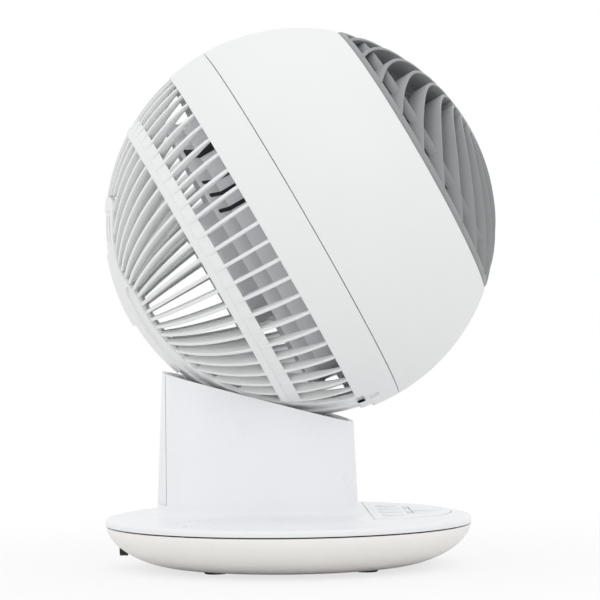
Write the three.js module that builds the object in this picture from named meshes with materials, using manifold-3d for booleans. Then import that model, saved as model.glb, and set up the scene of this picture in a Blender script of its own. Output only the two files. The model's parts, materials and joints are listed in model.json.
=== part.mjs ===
// Air circulator fan: a ball-shaped head in a cradle, on a column that rises from a round swivelling base.
// Millimetres, +Z up. The origin is on the floor under the swivel axis, and the fan blows toward -Y.

import * as THREE from "three";
import { mergeVertices } from "three/addons/utils/BufferGeometryUtils.js";
import Module from "manifold-3d";

const wasm = await Module();
wasm.setup();

// ---------------------------------------------------------------- driving dimensions

// Fits
const fitGap = 0.35; // between pieces that touch or seat on each other
const seamGap = 0.4; // visible joint between two covers
const runningGap = 0.6; // between pieces that move past each other

// Ball-shaped head
const ballRadius = 105;
const ballCentreHeight = 183.2;
const ballCentreForward = 8;
const restTilt = 29.4; // degrees that the fan axis looks up
const shellWall = 2.4;
const openingPlane = 67; // the front opening, ahead of the ball centre
const openingLipWall = 1.5;
const bandDepth = 22; // the rear cover's smooth band, behind the seam
const shellSegments = 60;
const coverSegments = 40;
const discSegments = 36;

// Rear grille
const ribCount = 60;
const ribWidth = 1.9;
const ribSink = 0.7; // ribs lie this much under the ball
const ribDepthEnd = 1.6;
const ribDepthMiddle = 7;
const ribEndAngle = 23; // degrees from the rear of the fan axis
const ringPlane = 56.7; // rear edge of the middle ring, behind the ball centre
const ringWall = 2.5;
const ringFlangeLength = 9.5;
const ringFlangeLean = 5;
const ringFlangeWall = 1.3;
const seamTongueLength = 4;
const seamTongueWall = 1.7;

// Smooth plate of the rear cover, where the head slides in its cradle
const plateHalfWidth = 44.5;
const plateWall = 2.4;
const plateShoulder = 8; // height at which the plate starts to narrow
const plateNeckHeight = 34;
const plateNeckHalfWidth = 33;
const plateTop = 64;
const plateCorner = 8;
const plateStart = 100.5;
const plateEnd = 220;
const plateOverlap = 1; // of the ribs and the ring under the plate's edge
const guideGrooveInner = 33.5;
const guideGrooveOuter = 42;
const guideGrooveDepth = 1.2;
const guideGrooveStart = 96; // degrees down and round from the fan axis
const guideGrooveEnd = 189.5;
const guideSlotWidth = 3.1;
const wideRecessHalfWidth = 31.7;
const wideRecessDepth = 1;
const wideRecessStart = 102.3;
const wideRecessEnd = 159.5;
const trackHalfWidth = 20.5;
const trackDepth = 6.4; // from the ball's surface to the track's floor
const trackStart = 98;
const trackEnd = 178.5;
const tubWall = 1.8;
const ventHalfWidth = 29;
const ventRecessDepth = 0.8;
const ventRecessStart = 201;
const ventRecessEnd = 213.5;
const ventStart = 204.5;
const ventEnd = 212;
const ventSlotCount = 7;
const ventSlotPitch = 8;
const ventSlotWidth = 3;

// Front grille
const finCount = 22;
const finWidth = 1.8;
const finDepth = 10;
const finSweep = 1.2; // degrees of spiral for each millimetre of radius
const grilleSink = 0.4; // fins lie this much under the ball
const grilleRingWall = 1.7;
const grilleRingDepth = 9;
const grilleHubLength = 9;
const grilleHubRadius = 22;
const finPhase = -4.5; // where the first fin's line would cross the axis, in degrees from the top
const capRadius = 18.5;
const capRecess = 4;

// Duct, motor and impeller
const ductBore = 77;
const ductWall = 2;
const ductFront = 38;
const ductRear = 30;
const ductFlare = 6;
const ductFlareLength = 8;
const ductFlangeThickness = 2;
const ductScrewCount = 4;
const screwLength = 9;
const screwShort = 6;
const bossRadius = 4;
const bossLength = 10;
const screwShank = 1.4;
const screwHead = 3.2;
const screwHeadHeight = 2.2;
const strutCount = 6;
const strutWidth = 3;
const strutDepth = 10;
const motorRadius = 30;
const motorLength = 34;
const motorFront = -12;
const motorCupWall = 2.5;
const motorCupLength = 24;
const cupHole = 12;
const motorCoverWall = 2;
const shaftRadius = 4;
const bearingRadius = 9;
const bearingWidth = 4.7;
const bladeCount = 5;
const bladeTipRadius = 74.5;
const bladeThickness = 2;
const bladeRootChord = 38;
const bladeTipChord = 60;
const bladeRootPitch = 48; // degrees from the plane of rotation
const bladeTipPitch = 24;
const impellerHubRadius = 24;
const impellerHubLength = 26;
const impellerWall = 2.5;
const impellerMiddle = 8;
const impellerBossRadius = 8.5;
const shaftRear = -45;
const nutRadius = 8;
const nutLength = 8;

// Tilt drive
const gearModule = 1;
const rackSink = 4; // the rack's pitch line lies this much under the ball
const rackWidth = 9;
const toothRootDepth = 1; // tooth depth under the pitch circle, in modules
const toothTipHeight = 0.75; // tooth height over the pitch circle, in modules
const toothBacklash = 0.5;
const toothLean = 25; // degrees
const rackStart = 99.6;
const rackEnd = 177;
const tiltPinionTeeth = 12;
const tiltPinionBehind = 12.1; // degrees behind straight down
const tiltPinionWidth = 7;
const tiltMotorRadius = 10.5;
const tiltMotorLength = 15;
const tiltMotorDrop = 9;
const tiltMotorSide = 5; // from the middle of the rack to the motor's face
const tiltMotorBoss = 3.4;
const tiltMotorBossLength = 2.6;
const axleRadius = 1.8;

// Cradle
const cradleLean = 15.1; // degrees that the cradle faces forward of straight up
const cradleWall = 2.8;
const cradleSkirt = 9;
const patchReach = 47;
const patchHalfAngle = 31;
const guideStemWidth = 2.3;
const guideShoeWidth = 6.8;
const guideShoeThickness = 2;
const guideHalfAngle = 3.5;
const guideShoeHalfAngle = 4.7;
const saddleWall = 2.4;
const saddleStart = 8;
const saddleEnd = 17;
const lugThickness = 3;
const lugHalfWidth = 5;
const lugReach = 2.2; // inward from the cradle's face

// Column
const columnBehind = 16.5; // column centre, behind the swivel axis
const columnMouthLength = 51; // outer half length at the mouth
const columnMouthWidth = 45; // inner half width at the mouth
const columnDraft = 0.043; // growth of each half size for each millimetre down
const columnRoundness = 3.2; // exponent of the column's outline: 2 is an ellipse
const columnWall = 2.6;
const columnFillet = 5;
const mouthGap = 0.8; // between the ball and the column's mouth
const rearStripDepth = 2.7; // at the mouth
const rearStripFoot = 6.5;

// Turntable
const turntableRadius = 98;
const turntableTop = 28.9;
const turntableFlatRadius = 76;
const turntableRimTop = 26.7;
const turntableRimRound = 1.6;
const turntableWall = 2.6;
const turntableGroove = 0.8;
const turntablePlateRadius = 90;
const turntablePlateThickness = 2;
const turntablePlateTop = 19.5;
const postRadius = 4;
const postCircle = 82;
const postCount = 4;

// Control panel
const panelChord = 43; // the straight rear edge, ahead of the swivel axis
const panelArcCentre = 20.6;
const panelArcRadius = 66.5;
const panelThickness = 2.5;
const panelGap = 0.5;
const panelLedge = 2.4;
const buttonProud = 0.4;
const buttonTravel = 0.5;
const buttonStem = 3;
const buttonSides = 16;
const powerButtonRadius = 8;
const powerButtonForward = 74;
const smallButtonRadius = 5.5;
const smallButtonForward = 54;
const smallButtonPitch = 21;
const lensLength = 46;
const lensWidth = 3;
const lensForward = 64.2;
const boardTop = 22.4;
const boardThickness = 1.4;
const boardHalfWidth = 44;
const boardRear = 47;
const boardFront = 81;
const boardPegRadius = 2.2;
const boardPegSide = 38;
const boardPegForward = 74;
const switchHeight = 0.8;
const switchRadius = 2.6;

// Base
const bowlTop = 22.4;
const bowlBottom = 1.3;
const bowlFlatRadius = 62;
const bowlFullness = 1.75; // exponent of the bowl's outline: 2 is an ellipse
const bowlInset = 0.3; // the bowl's edge, inside the turntable's rim
const bowlWall = 2.5;
const hubRadius = 14;
const hubShoulder = 19;
const retainerRadius = 20;
const retainerThickness = 2;
const hubBore = 9;
const hubRoof = 5;
const bearingRingRadius = 61;
const bearingRingWidth = 6;
const bearingRingHeight = 2.4;
const ballastThickness = 5;
const ballastInner = 20;
const ballastOuter = 55;
const footRadius = 6;
const footCircle = 56;
const footHeight = 2.6;
const footCount = 4;
const inletRadius = 5;
const inletBore = 3;
const inletHeight = 11.5;
const swivelModule = 2;
const swivelGearTeeth = 30;
const swivelPinionTeeth = 10;
const swivelGearThickness = 4;
const swivelGearHeight = 10;
const swivelMotorRadius = 13;
const swivelMotorLength = 18;
const swivelMotorEar = 20;

// ---------------------------------------------------------------- derived sizes

const radians = THREE.MathUtils.degToRad;
const upright = new THREE.Vector3(0, 0, 1);
const bandInner = ballRadius - shellWall;
const openingRadius = acrossBall(ballRadius, openingPlane);
const ribOuter = ballRadius - ribSink;
const plateInner = ballRadius - plateWall;
const finOuter = ballRadius - grilleSink;
const guideMiddle = (guideGrooveInner + guideGrooveOuter) / 2;
const shoeOuter = plateInner - runningGap;
const ductOuter = ductBore + ductWall;
const bossFoot = ductFront + fitGap;
const bossCircle = acrossBall(bandInner, bossFoot + bossLength / 2) - bossRadius;
const motorRear = motorFront - motorLength;
const cupBore = motorRadius + fitGap;
const cupOuter = cupBore + motorCupWall;
const shaftBore = shaftRadius + fitGap;
const cupFront = motorFront + fitGap + motorCupWall;
const strutFront = cupFront - 2;
const hubRear = impellerMiddle - impellerHubLength / 2;
const hubFront = impellerMiddle + impellerHubLength / 2;
const shaftFront = hubFront + nutLength - 2;
const trackFloor = ballRadius - trackDepth;
const rackTeeth = 2 * Math.round((ballRadius - rackSink) / gearModule); // as a full circle
const rackPitchRadius = (gearModule * rackTeeth) / 2;
const tiltPinionDistance = rackPitchRadius + (gearModule * tiltPinionTeeth) / 2;
const tiltMeshAngle = 90 + tiltPinionBehind; // as the cradle sees it
const cradleInner = ballRadius + runningGap;
const cradleOuter = cradleInner + cradleWall;
const lugInner = cradleInner - lugReach;
const cradleAngle = 90 + cradleLean;
const swivelGearRadius = (swivelModule * swivelGearTeeth) / 2;
const swivelPinionRadius = (swivelModule * swivelPinionTeeth) / 2;
const swivelDistance = swivelGearRadius + swivelPinionRadius;
const mouthDistance = acrossBall(ballRadius, columnMouthWidth - mouthGap);
const mouthHeight = ballCentreHeight - mouthDistance * Math.cos(radians(cradleLean));
const stripPlane = columnBehind + columnMouthLength - rearStripDepth;
const turntableCeiling = turntableTop - turntableWall;
const turntableRimFoot = bowlTop + turntableGroove;
const plateUnderside = turntablePlateTop - turntablePlateThickness;
const panelFloor = turntableTop - panelThickness - fitGap;
const capFoot = turntableTop - panelThickness + 0.8;
const bowlFloor = bowlBottom + bowlWall;
const hubTop = turntablePlateTop + runningGap;
const bowlRadius = turntableRadius - bowlInset;
const bearingFoot = plateUnderside - fitGap - bearingRingHeight;

// ---------------------------------------------------------------- finishes

function finish(color, roughness, metalness = 0) {
  return new THREE.MeshStandardMaterial({ color, roughness, metalness });
}

const whiteShell = () => finish(0xf1f2f3, 0.42);
const whiteStand = () => finish(0xeceef1, 0.34);
const warmBase = () => finish(0xe3e1dd, 0.5);
const greyGrille = () => finish(0xc3c5c6, 0.5);
const paleInside = () => finish(0xd3d5d6, 0.55);
const blackPlastic = () => finish(0x2a2b2d, 0.6);
const steel = () => finish(0xb4b6b8, 0.32, 1);
const zincSteel = () => finish(0x9a9c9f, 0.45, 1);
const whiteNylon = () => finish(0xe9e7df, 0.5);
const rubber = () => finish(0x343536, 0.85);
const boardGreen = () => finish(0x2f6b4a, 0.6);
const smokeLens = () => finish(0xb9bcbe, 0.2);

// ---------------------------------------------------------------- making solids

// Radius of a ball's section at this distance from its middle.
function acrossBall(radius, offset) {
  return Math.sqrt(radius ** 2 - offset ** 2);
}

function span(from, to, steps) {
  return Array.from({ length: steps + 1 }, (_, i) => from + ((to - from) * i) / steps);
}

function copies(count, make) {
  return Array.from({ length: count }, (_, i) => make(i));
}

// A closed geometry as a solid that can be joined and cut.
function solid(shape) {
  if (shape instanceof wasm.Manifold) return shape;
  const loose = shape.index ? shape.toNonIndexed() : shape;
  const bare = new THREE.BufferGeometry().setAttribute("position", loose.getAttribute("position"));
  const merged = mergeVertices(bare, 1e-4);
  const corners = merged.index.array;
  const faces = [];
  for (let i = 0; i < corners.length; i += 3) {
    const [a, b, c] = corners.slice(i, i + 3);
    if (a !== b && b !== c && c !== a) faces.push([a, b, c]);
  }
  const made = manifoldOf(merged, faces);
  return made.volume() < 0 ? manifoldOf(merged, faces.map(([a, b, c]) => [a, c, b])) : made;
}

function manifoldOf(geometry, faces) {
  const vertProperties = geometry.attributes.position.array;
  const triVerts = new Uint32Array(faces.flat());
  return new wasm.Manifold(new wasm.Mesh({ numProp: 3, vertProperties, triVerts }));
}

function join(...shapes) {
  return shapes.map(solid).reduce((whole, next) => whole.add(next));
}

function cut(body, ...tools) {
  return tools.map(solid).reduce((whole, tool) => whole.subtract(tool), solid(body));
}

function common(a, b) {
  return solid(a).intersect(solid(b));
}

// Adds a named piece to a group.
function add(group, name, shape, material) {
  const made = solid(shape).getMesh();
  const positions = new Float32Array(made.numVert * 3);
  for (let i = 0; i < made.numVert; i++) {
    const start = i * made.numProp;
    positions.set(made.vertProperties.subarray(start, start + 3), i * 3);
  }
  const geometry = new THREE.BufferGeometry();
  geometry.setAttribute("position", new THREE.BufferAttribute(positions, 3));
  geometry.setIndex(new THREE.BufferAttribute(new Uint32Array(made.triVerts), 1));
  geometry.computeVertexNormals();
  const mesh = new THREE.Mesh(geometry, material);
  mesh.name = name;
  group.add(mesh);
  return mesh;
}

// A profile of [radius, height] points turned about Z.
function turned(profile, segments = 20) {
  const points = [...profile, profile[0]].map(([radius, height]) => new THREE.Vector2(radius, height));
  return new THREE.LatheGeometry(points, segments).rotateX(Math.PI / 2);
}

// Points of a ball's outline between two heights.
function ballArc(radius, from, to, steps) {
  const start = Math.asin(from / radius);
  const end = Math.asin(to / radius);
  return span(start, end, steps).map((t) => [radius * Math.cos(t), radius * Math.sin(t)]);
}

function rod(radius, bottom, top, segments = 14) {
  const middle = (bottom + top) / 2;
  return new THREE.CylinderGeometry(radius, radius, top - bottom, segments)
    .rotateX(Math.PI / 2)
    .translate(0, 0, middle);
}

function ring(inner, outer, bottom, top, segments = 20) {
  return turned([[inner, bottom], [outer, bottom], [outer, top], [inner, top]], segments);
}

// A box between two corners.
function block([x0, y0, z0], [x1, y1, z1]) {
  return new THREE.BoxGeometry(x1 - x0, y1 - y0, z1 - z0)
    .translate((x0 + x1) / 2, (y0 + y1) / 2, (z0 + z1) / 2);
}

// An outline of [x, y] points raised from one height to another.
function raised(outline, bottom, top) {
  const shape = new THREE.Shape(outline.map(([x, y]) => new THREE.Vector2(x, y)));
  return new THREE.ExtrudeGeometry(shape, { depth: top - bottom, bevelEnabled: false })
    .translate(0, 0, bottom);
}

// The faces that close a convex outline of this many points.
function fanCap(count) {
  return copies(count - 2, (i) => [0, i + 1, i + 2]);
}

// The faces that close any outline of [x, y] points.
function filledCap(outline) {
  const contour = outline.map(([x, y]) => new THREE.Vector2(x, y));
  const faces = THREE.ShapeUtils.triangulateShape(contour, []);
  return THREE.ShapeUtils.isClockWise(contour) ? faces.map(([a, b, c]) => [a, c, b]) : faces;
}

// A closed skin over rings of points, flat at both ends.
function lofted(rings, cap = fanCap(rings[0].length)) {
  const count = rings[0].length;
  const last = (rings.length - 1) * count;
  const index = [];
  for (let start = 0; start < last; start += count) {
    for (let i = 0; i < count; i++) {
      const next = (i + 1) % count;
      const [a, b, c, d] = [start + i, start + next, start + count + i, start + count + next];
      index.push(a, b, d, a, d, c);
    }
  }
  for (const [a, b, c] of cap) index.push(a, c, b, last + a, last + b, last + c);
  const geometry = new THREE.BufferGeometry().setFromPoints(rings.flat());
  return geometry.setIndex(index);
}

// Points radially outward along Z turn to this angle, down and round from the fan axis.
function atAngle(shape, angle) {
  return shape.rotateX(radians(angle));
}

// A profile of [across, radius] points swept about the tilt axis, between two angles from the fan axis.
function sweptAboutTilt(profile, from, to, steps) {
  const rings = span(radians(from), radians(to), steps).map((a) =>
    profile.map(([x, radius]) => new THREE.Vector3(x, -radius * Math.sin(a), radius * Math.cos(a))),
  );
  return lofted(rings, filledCap(profile));
}

// A profile between two sides that runs from a ball of one radius out to another.
function ballStrip(left, right, inner, outer, steps = 1) {
  const below = span(left, right, steps).map((x) => [x, acrossBall(inner, x)]);
  const above = span(right, left, steps).map((x) => [x, acrossBall(outer, x)]);
  return [...below, ...above];
}

function onCircle(radius, angle) {
  return [radius * Math.cos(angle), radius * Math.sin(angle)];
}

// Outline of a gear, with a tooth centred on the first angle. A part gear has fewer teeth than the full circle.
function toothedEdge(module, teeth, firstAngle, made = teeth) {
  const pitchRadius = (module * teeth) / 2;
  const root = pitchRadius - module * toothRootDepth;
  const tip = pitchRadius + module * toothTipHeight;
  const halfTooth = (Math.PI * module) / 4 - toothBacklash / 2;
  const lean = Math.tan(radians(toothLean));
  const rootHalf = (halfTooth + lean * (pitchRadius - root)) / root;
  const tipHalf = (halfTooth - lean * (tip - pitchRadius)) / tip;
  return copies(made, (i) => firstAngle + (2 * Math.PI * i) / teeth).flatMap((middle) => [
    onCircle(root, middle - rootHalf),
    onCircle(tip, middle - tipHalf),
    onCircle(tip, middle + tipHalf),
    onCircle(root, middle + rootHalf),
  ]);
}

// An oval outline, squarer as its exponent grows.
function oval(halfWidth, halfLength, exponent, count = 28) {
  const bulge = (t) => Math.sign(t) * Math.abs(t) ** (2 / exponent);
  return copies(count, (i) => {
    const turn = (2 * Math.PI * (i + 0.5)) / count;
    return [halfWidth * bulge(Math.cos(turn)), halfLength * bulge(Math.sin(turn))];
  });
}

// A piece of the ball under the cradle, from one radius out to another.
function ballPatch(inner, outer) {
  const strip = ballStrip(-patchReach, patchReach, inner, outer, 8);
  return sweptAboutTilt(strip, cradleAngle - patchHalfAngle, cradleAngle + patchHalfAngle, 7);
}

// ---------------------------------------------------------------- base

function bowlEdge(inset, height) {
  const share = (bowlTop + 0.2 - height) / (bowlTop + 0.2 - bowlBottom);
  const reach = (1 - share ** bowlFullness) ** (1 / bowlFullness);
  return bowlFlatRadius + (bowlRadius - bowlFlatRadius) * reach - inset;
}

function bowlShell() {
  const heights = span(0, 1, 4).map((t) => bowlBottom + (bowlTop - bowlBottom) * t ** 1.8);
  const outside = heights.map((z) => [bowlEdge(0, z), z]);
  const inside = heights.filter((z) => z > bowlFloor + 2).map((z) => [bowlEdge(bowlWall, z), z]);
  const floorEdge = [bowlEdge(bowlWall, bowlFloor), bowlFloor];
  return turned([[0, bowlBottom], ...outside, ...inside.reverse(), floorEdge, [0, bowlFloor]], discSegments);
}

function baseHub() {
  const shoulderTop = swivelGearHeight - fitGap;
  return turned([
    [0, bowlBottom],
    [hubShoulder, bowlBottom],
    [hubShoulder, shoulderTop],
    [hubRadius, shoulderTop],
    [hubRadius, hubTop],
    [0, hubTop],
  ]);
}

function baseBowl() {
  const supportTop = bearingFoot - fitGap;
  const inner = bearingRingRadius - bearingRingWidth / 2 - 1;
  const support = ring(inner, inner + bearingRingWidth + 2, bowlFloor - 1, supportTop);
  const wiring = rod(hubBore, bowlBottom - 1, hubTop - hubRoof);
  const pilot = rod(screwShank + fitGap, hubTop - hubRoof - 1, hubTop + 1);
  const inlet = inletRod(inletRadius + fitGap, bowlFlatRadius + 5, bowlRadius + 5);
  const feet = copies(footCount, (i) => {
    const { x, y } = footPlace(i);
    return rod(footRadius + fitGap, 0, footHeight + fitGap).translate(x, y, 0);
  });
  return cut(join(bowlShell(), baseHub(), support), wiring, pilot, inlet, ...feet);
}

function footPlace(i) {
  const [x, y] = onCircle(footCircle, radians(45 + (360 / footCount) * i));
  return new THREE.Vector3(x, y, 0);
}

// A rod that lies along Y at the height of the cord's inlet.
function inletRod(radius, from, to) {
  return rod(radius, -to, -from).rotateX(Math.PI / 2).translate(0, 0, inletHeight);
}

function cordInlet() {
  const face = bowlEdge(0, inletHeight);
  const inside = bowlEdge(bowlWall + 2, inletHeight);
  return cut(inletRod(inletRadius, inside, face), inletRod(inletBore, inside - 1, face + 1));
}

function ballastPlate() {
  const bottom = bowlFloor + fitGap;
  return ring(ballastInner, ballastOuter, bottom, bottom + ballastThickness);
}

function swivelGear() {
  const outline = toothedEdge(swivelModule, swivelGearTeeth, Math.PI / 2);
  const disc = raised(outline, swivelGearHeight, swivelGearHeight + swivelGearThickness);
  return cut(disc, rod(hubRadius + fitGap, 0, turntableTop));
}

function bearingRing() {
  const inner = bearingRingRadius - bearingRingWidth / 2;
  return ring(inner, inner + bearingRingWidth, bearingFoot, bearingFoot + bearingRingHeight);
}

function retainer() {
  const bottom = hubTop + fitGap;
  return ring(screwShank + fitGap, retainerRadius, bottom, bottom + retainerThickness);
}

// A pan-head screw that points down, with the underside of its head at zero.
function screw(length = screwLength) {
  return join(rod(screwShank, -length, 0.1, 6), rod(screwHead, 0, screwHeadHeight, 8));
}

// ---------------------------------------------------------------- turntable and column

function crown(thickness, edge) {
  const fall = (turntableTop - turntableRimTop) / (turntableRadius - turntableRimRound - turntableFlatRadius) ** 2;
  return span(turntableFlatRadius, edge, 2)
    .map((r) => [r, turntableTop - thickness - fall * (r - turntableFlatRadius) ** 2]);
}

function turntableShell() {
  const outside = crown(0, turntableRadius - turntableRimRound);
  const inside = crown(turntableWall, turntableRadius - turntableWall);
  return turned([
    [0, turntableTop],
    ...outside,
    [turntableRadius - 0.5, turntableRimTop - 0.5],
    [turntableRadius, turntableRimTop - turntableRimRound],
    [turntableRadius, turntableRimFoot],
    [turntableRadius - turntableWall, turntableRimFoot],
    ...inside.reverse(),
    [0, turntableCeiling],
  ], discSegments);
}

// The column as a solid, smaller by an inset, through the given heights.
function columnBody(inset, heights, flare = () => 0) {
  const rings = heights.map((z) => {
    const growth = columnDraft * (mouthHeight - z) - inset + flare(z);
    const outline = oval(columnMouthWidth + columnWall + growth, columnMouthLength + growth, columnRoundness);
    return outline.map(([x, y]) => new THREE.Vector3(x, y + columnBehind, z));
  });
  return lofted(rings);
}

function filletFlare(z) {
  const rise = THREE.MathUtils.clamp(z - turntableTop, 0, columnFillet);
  return columnFillet - acrossBall(columnFillet, columnFillet - rise);
}

// Moves a shape from the ball's own frame, with the fan level, to its place over the base.
function fromBall(shape) {
  return shape.rotateX(Math.PI / 2).translate(0, -ballCentreForward, ballCentreHeight);
}

// Moves a shape from its place over the base to the ball's own frame, with the fan level.
function toBall(shape) {
  return shape.translate(0, ballCentreForward, -ballCentreHeight).rotateX(-Math.PI / 2);
}

// A box from one distance to another along the cradle's direction, in the ball's own frame.
function cradleSlab(from, to) {
  return atAngle(block([-90, -90, from], [90, 90, to]), cradleAngle);
}

function stripRegion(gap) {
  const foot = turntableTop + rearStripFoot + gap;
  return block([-columnMouthLength, stripPlane + gap, foot], [columnMouthLength, 90, ballCentreHeight]);
}

function columnShell() {
  const filletHeights = span(0, 1, 3).map((t) => turntableTop + columnFillet * t ** 1.6);
  const outside = columnBody(0, [turntableCeiling + 1, ...filletHeights, ballCentreHeight - 60], filletFlare);
  return cut(outside, fromBall(cradleSlab(0, mouthDistance)));
}

function columnCore(gap) {
  return columnBody(columnWall + gap, [turntableCeiling - 1, ballCentreHeight - 50]);
}

function panelOutline(grow) {
  const radius = panelArcRadius + grow;
  const reach = Math.acos((panelChord - grow - panelArcCentre) / radius);
  return span(-reach, reach, 16)
    .map((t) => [radius * Math.sin(t), -panelArcCentre - radius * Math.cos(t)]);
}

const buttonPlaces = {
  power_button: [0, -powerButtonForward],
  timer_button: [-1.5 * smallButtonPitch, -smallButtonForward],
  speed_button: [-0.5 * smallButtonPitch, -smallButtonForward],
  swing_button: [0.5 * smallButtonPitch, -smallButtonForward],
  tilt_button: [1.5 * smallButtonPitch, -smallButtonForward],
};

function atButtons(make) {
  return Object.values(buttonPlaces).map(([x, y], i) => make(i).translate(x, y, 0));
}

function buttonRadius(i) {
  return i === 0 ? powerButtonRadius : smallButtonRadius;
}

function postPlace(i) {
  const [x, y] = onCircle(postCircle, radians(45 + (360 / postCount) * i));
  return new THREE.Vector3(x, y, 0);
}

function atPosts(radius, bottom, top) {
  return copies(postCount, (i) => {
    const { x, y } = postPlace(i);
    return rod(radius, bottom, top, 8).translate(x, y, 0);
  });
}

function boardPegs() {
  return [-boardPegSide, boardPegSide].map((x) =>
    rod(boardPegRadius, boardTop + fitGap, panelFloor, 12).translate(x, -boardPegForward, 0),
  );
}

function standHousing() {
  const padFoot = panelFloor - turntableWall;
  const pad = raised(panelOutline(panelGap + panelLedge), padFoot, turntableRimTop);
  const posts = atPosts(postRadius, turntablePlateTop + fitGap, turntableRimTop - fitGap);
  const pilots = atPosts(screwShank + fitGap, 0, turntableCeiling - 1);
  const body = join(turntableShell(), columnShell(), pad, ...posts, ...boardPegs());
  const pocket = raised(panelOutline(panelGap), panelFloor, turntableTop + 1);
  const stems = atButtons(() => rod(buttonStem + fitGap, padFoot - 1, turntableTop, 12));
  return cut(body, columnCore(0), stripRegion(0), pocket, ...stems, ...pilots);
}

function columnRearCover() {
  return common(cut(columnShell(), columnCore(0)), stripRegion(seamGap));
}

function turntablePlate() {
  const disc = ring(hubRadius + fitGap, turntablePlateRadius, plateUnderside, turntablePlateTop, discSegments);
  const screws = atPosts(screwShank + fitGap, 0, turntableTop);
  const axle = rod(axleRadius + runningGap, 0, turntableTop).translate(0, swivelDistance, 0);
  return cut(disc, axle, ...screws);
}

function controlPanel() {
  const plate = raised(panelOutline(0), turntableTop - panelThickness, turntableTop);
  const holes = atButtons((i) => rod(buttonRadius(i) + fitGap, 0, turntableTop + 1, buttonSides));
  return cut(plate, lensBar(fitGap, 0, turntableTop + 1), ...holes);
}

function lensBar(gap, bottom, top) {
  const halfLength = lensLength / 2 + gap;
  const halfWidth = lensWidth / 2 + gap;
  return block([-halfLength, -lensForward - halfWidth, bottom], [halfLength, -lensForward + halfWidth, top]);
}

function button(radius) {
  const stem = rod(buttonStem, boardTop + switchHeight + buttonTravel + 0.3, capFoot + 0.1, 12);
  return join(stem, rod(radius, capFoot, turntableTop + buttonProud, buttonSides));
}

function panelBoard() {
  const board = block([-boardHalfWidth, -boardFront, boardTop - boardThickness], [boardHalfWidth, -boardRear, boardTop]);
  const switches = atButtons(() => rod(switchRadius, boardTop - 0.1, boardTop + switchHeight, 10));
  return join(board, ...switches);
}

function swivelMotor() {
  const bottom = turntablePlateTop + fitGap;
  const ears = block([-swivelMotorEar, -screwHead, bottom], [swivelMotorEar, screwHead, bottom + turntablePlateThickness]);
  const bore = rod(axleRadius + fitGap, 0, bottom + swivelMotorLength / 2);
  return cut(join(rod(swivelMotorRadius, bottom, bottom + swivelMotorLength, 40), ears), bore);
}

// A pinion with its axle along Z, and a gap between teeth on the given side.
function pinion(module, teeth, gapAngle, bottom, top, axleBottom, axleTop) {
  const firstAngle = gapAngle + Math.PI / teeth;
  const axle = rod(axleRadius, axleBottom, axleTop, 12);
  return join(raised(toothedEdge(module, teeth, firstAngle), bottom, top), axle);
}

function swivelPinion() {
  const bottom = swivelGearHeight + 0.2;
  const top = bottom + swivelGearThickness - 0.4;
  const axleTop = turntablePlateTop + fitGap + swivelMotorLength / 2 - fitGap;
  return pinion(swivelModule, swivelPinionTeeth, -Math.PI / 2, bottom, top, bottom, axleTop);
}

// ---------------------------------------------------------------- cradle and tilt drive

// Turns a piece whose axis is Z so that its axis is X, and its angles run down and round from the fan axis.
function acrossTilt(shape) {
  return shape.rotateY(Math.PI / 2).rotateX(Math.PI);
}

// A rod along X at a distance from the ball's centre, on the pinion's side.
function tiltRod(radius, distance, from, to, segments = 20) {
  const [forward, down] = onCircle(distance, radians(tiltMeshAngle));
  return acrossTilt(rod(radius, from, to, segments)).translate(0, -down, forward);
}

function tiltPinion() {
  const half = tiltPinionWidth / 2;
  const gapAngle = radians(tiltMeshAngle + 180);
  const axleStart = -half - 1 - lugThickness;
  return pinion(gearModule, tiltPinionTeeth, gapAngle, -half, half, axleStart, tiltMotorSide + tiltMotorBossLength - 2 * fitGap);
}

function tiltMotor() {
  const can = tiltRod(tiltMotorRadius, tiltPinionDistance + tiltMotorDrop, tiltMotorSide, tiltMotorSide + tiltMotorLength);
  const boss = tiltRod(tiltMotorBoss, tiltPinionDistance, tiltMotorSide, tiltMotorSide + tiltMotorBossLength);
  const bore = tiltRod(axleRadius + fitGap, tiltPinionDistance, 0, tiltMotorSide + tiltMotorBossLength - fitGap);
  return cut(join(can, boss), bore);
}

function cradleWindow() {
  const across = acrossBall(tiltMotorRadius + runningGap, tiltPinionDistance + tiltMotorDrop - cradleOuter);
  const half = tiltPinionWidth / 2 + runningGap;
  const end = tiltMotorSide + tiltMotorLength + runningGap;
  return atAngle(block([-half, -across, cradleInner - 9], [end, across, cradleOuter + 9]), tiltMeshAngle);
}

function cradleSaddle() {
  const distance = tiltPinionDistance + tiltMotorDrop;
  const bore = tiltMotorRadius + fitGap;
  const hoop = tiltRod(bore + saddleWall, distance, saddleStart, saddleEnd);
  return cut(hoop, tiltRod(bore, distance, 0, saddleEnd + 1));
}

function cradleLug() {
  const outer = -tiltPinionWidth / 2 - 1;
  const plate = block([outer - lugThickness, -lugHalfWidth, lugInner], [outer, lugHalfWidth, cradleOuter + 4]);
  return atAngle(plate, tiltMeshAngle);
}

function guideStem(side) {
  const [near, far] = [guideMiddle - guideStemWidth / 2, guideMiddle + guideStemWidth / 2].map((x) => x * side);
  const profile = ballStrip(near, far, shoeOuter - guideShoeThickness, cradleInner + 1);
  return sweptAboutTilt(profile, cradleAngle - guideHalfAngle, cradleAngle + guideHalfAngle, 3);
}

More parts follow.
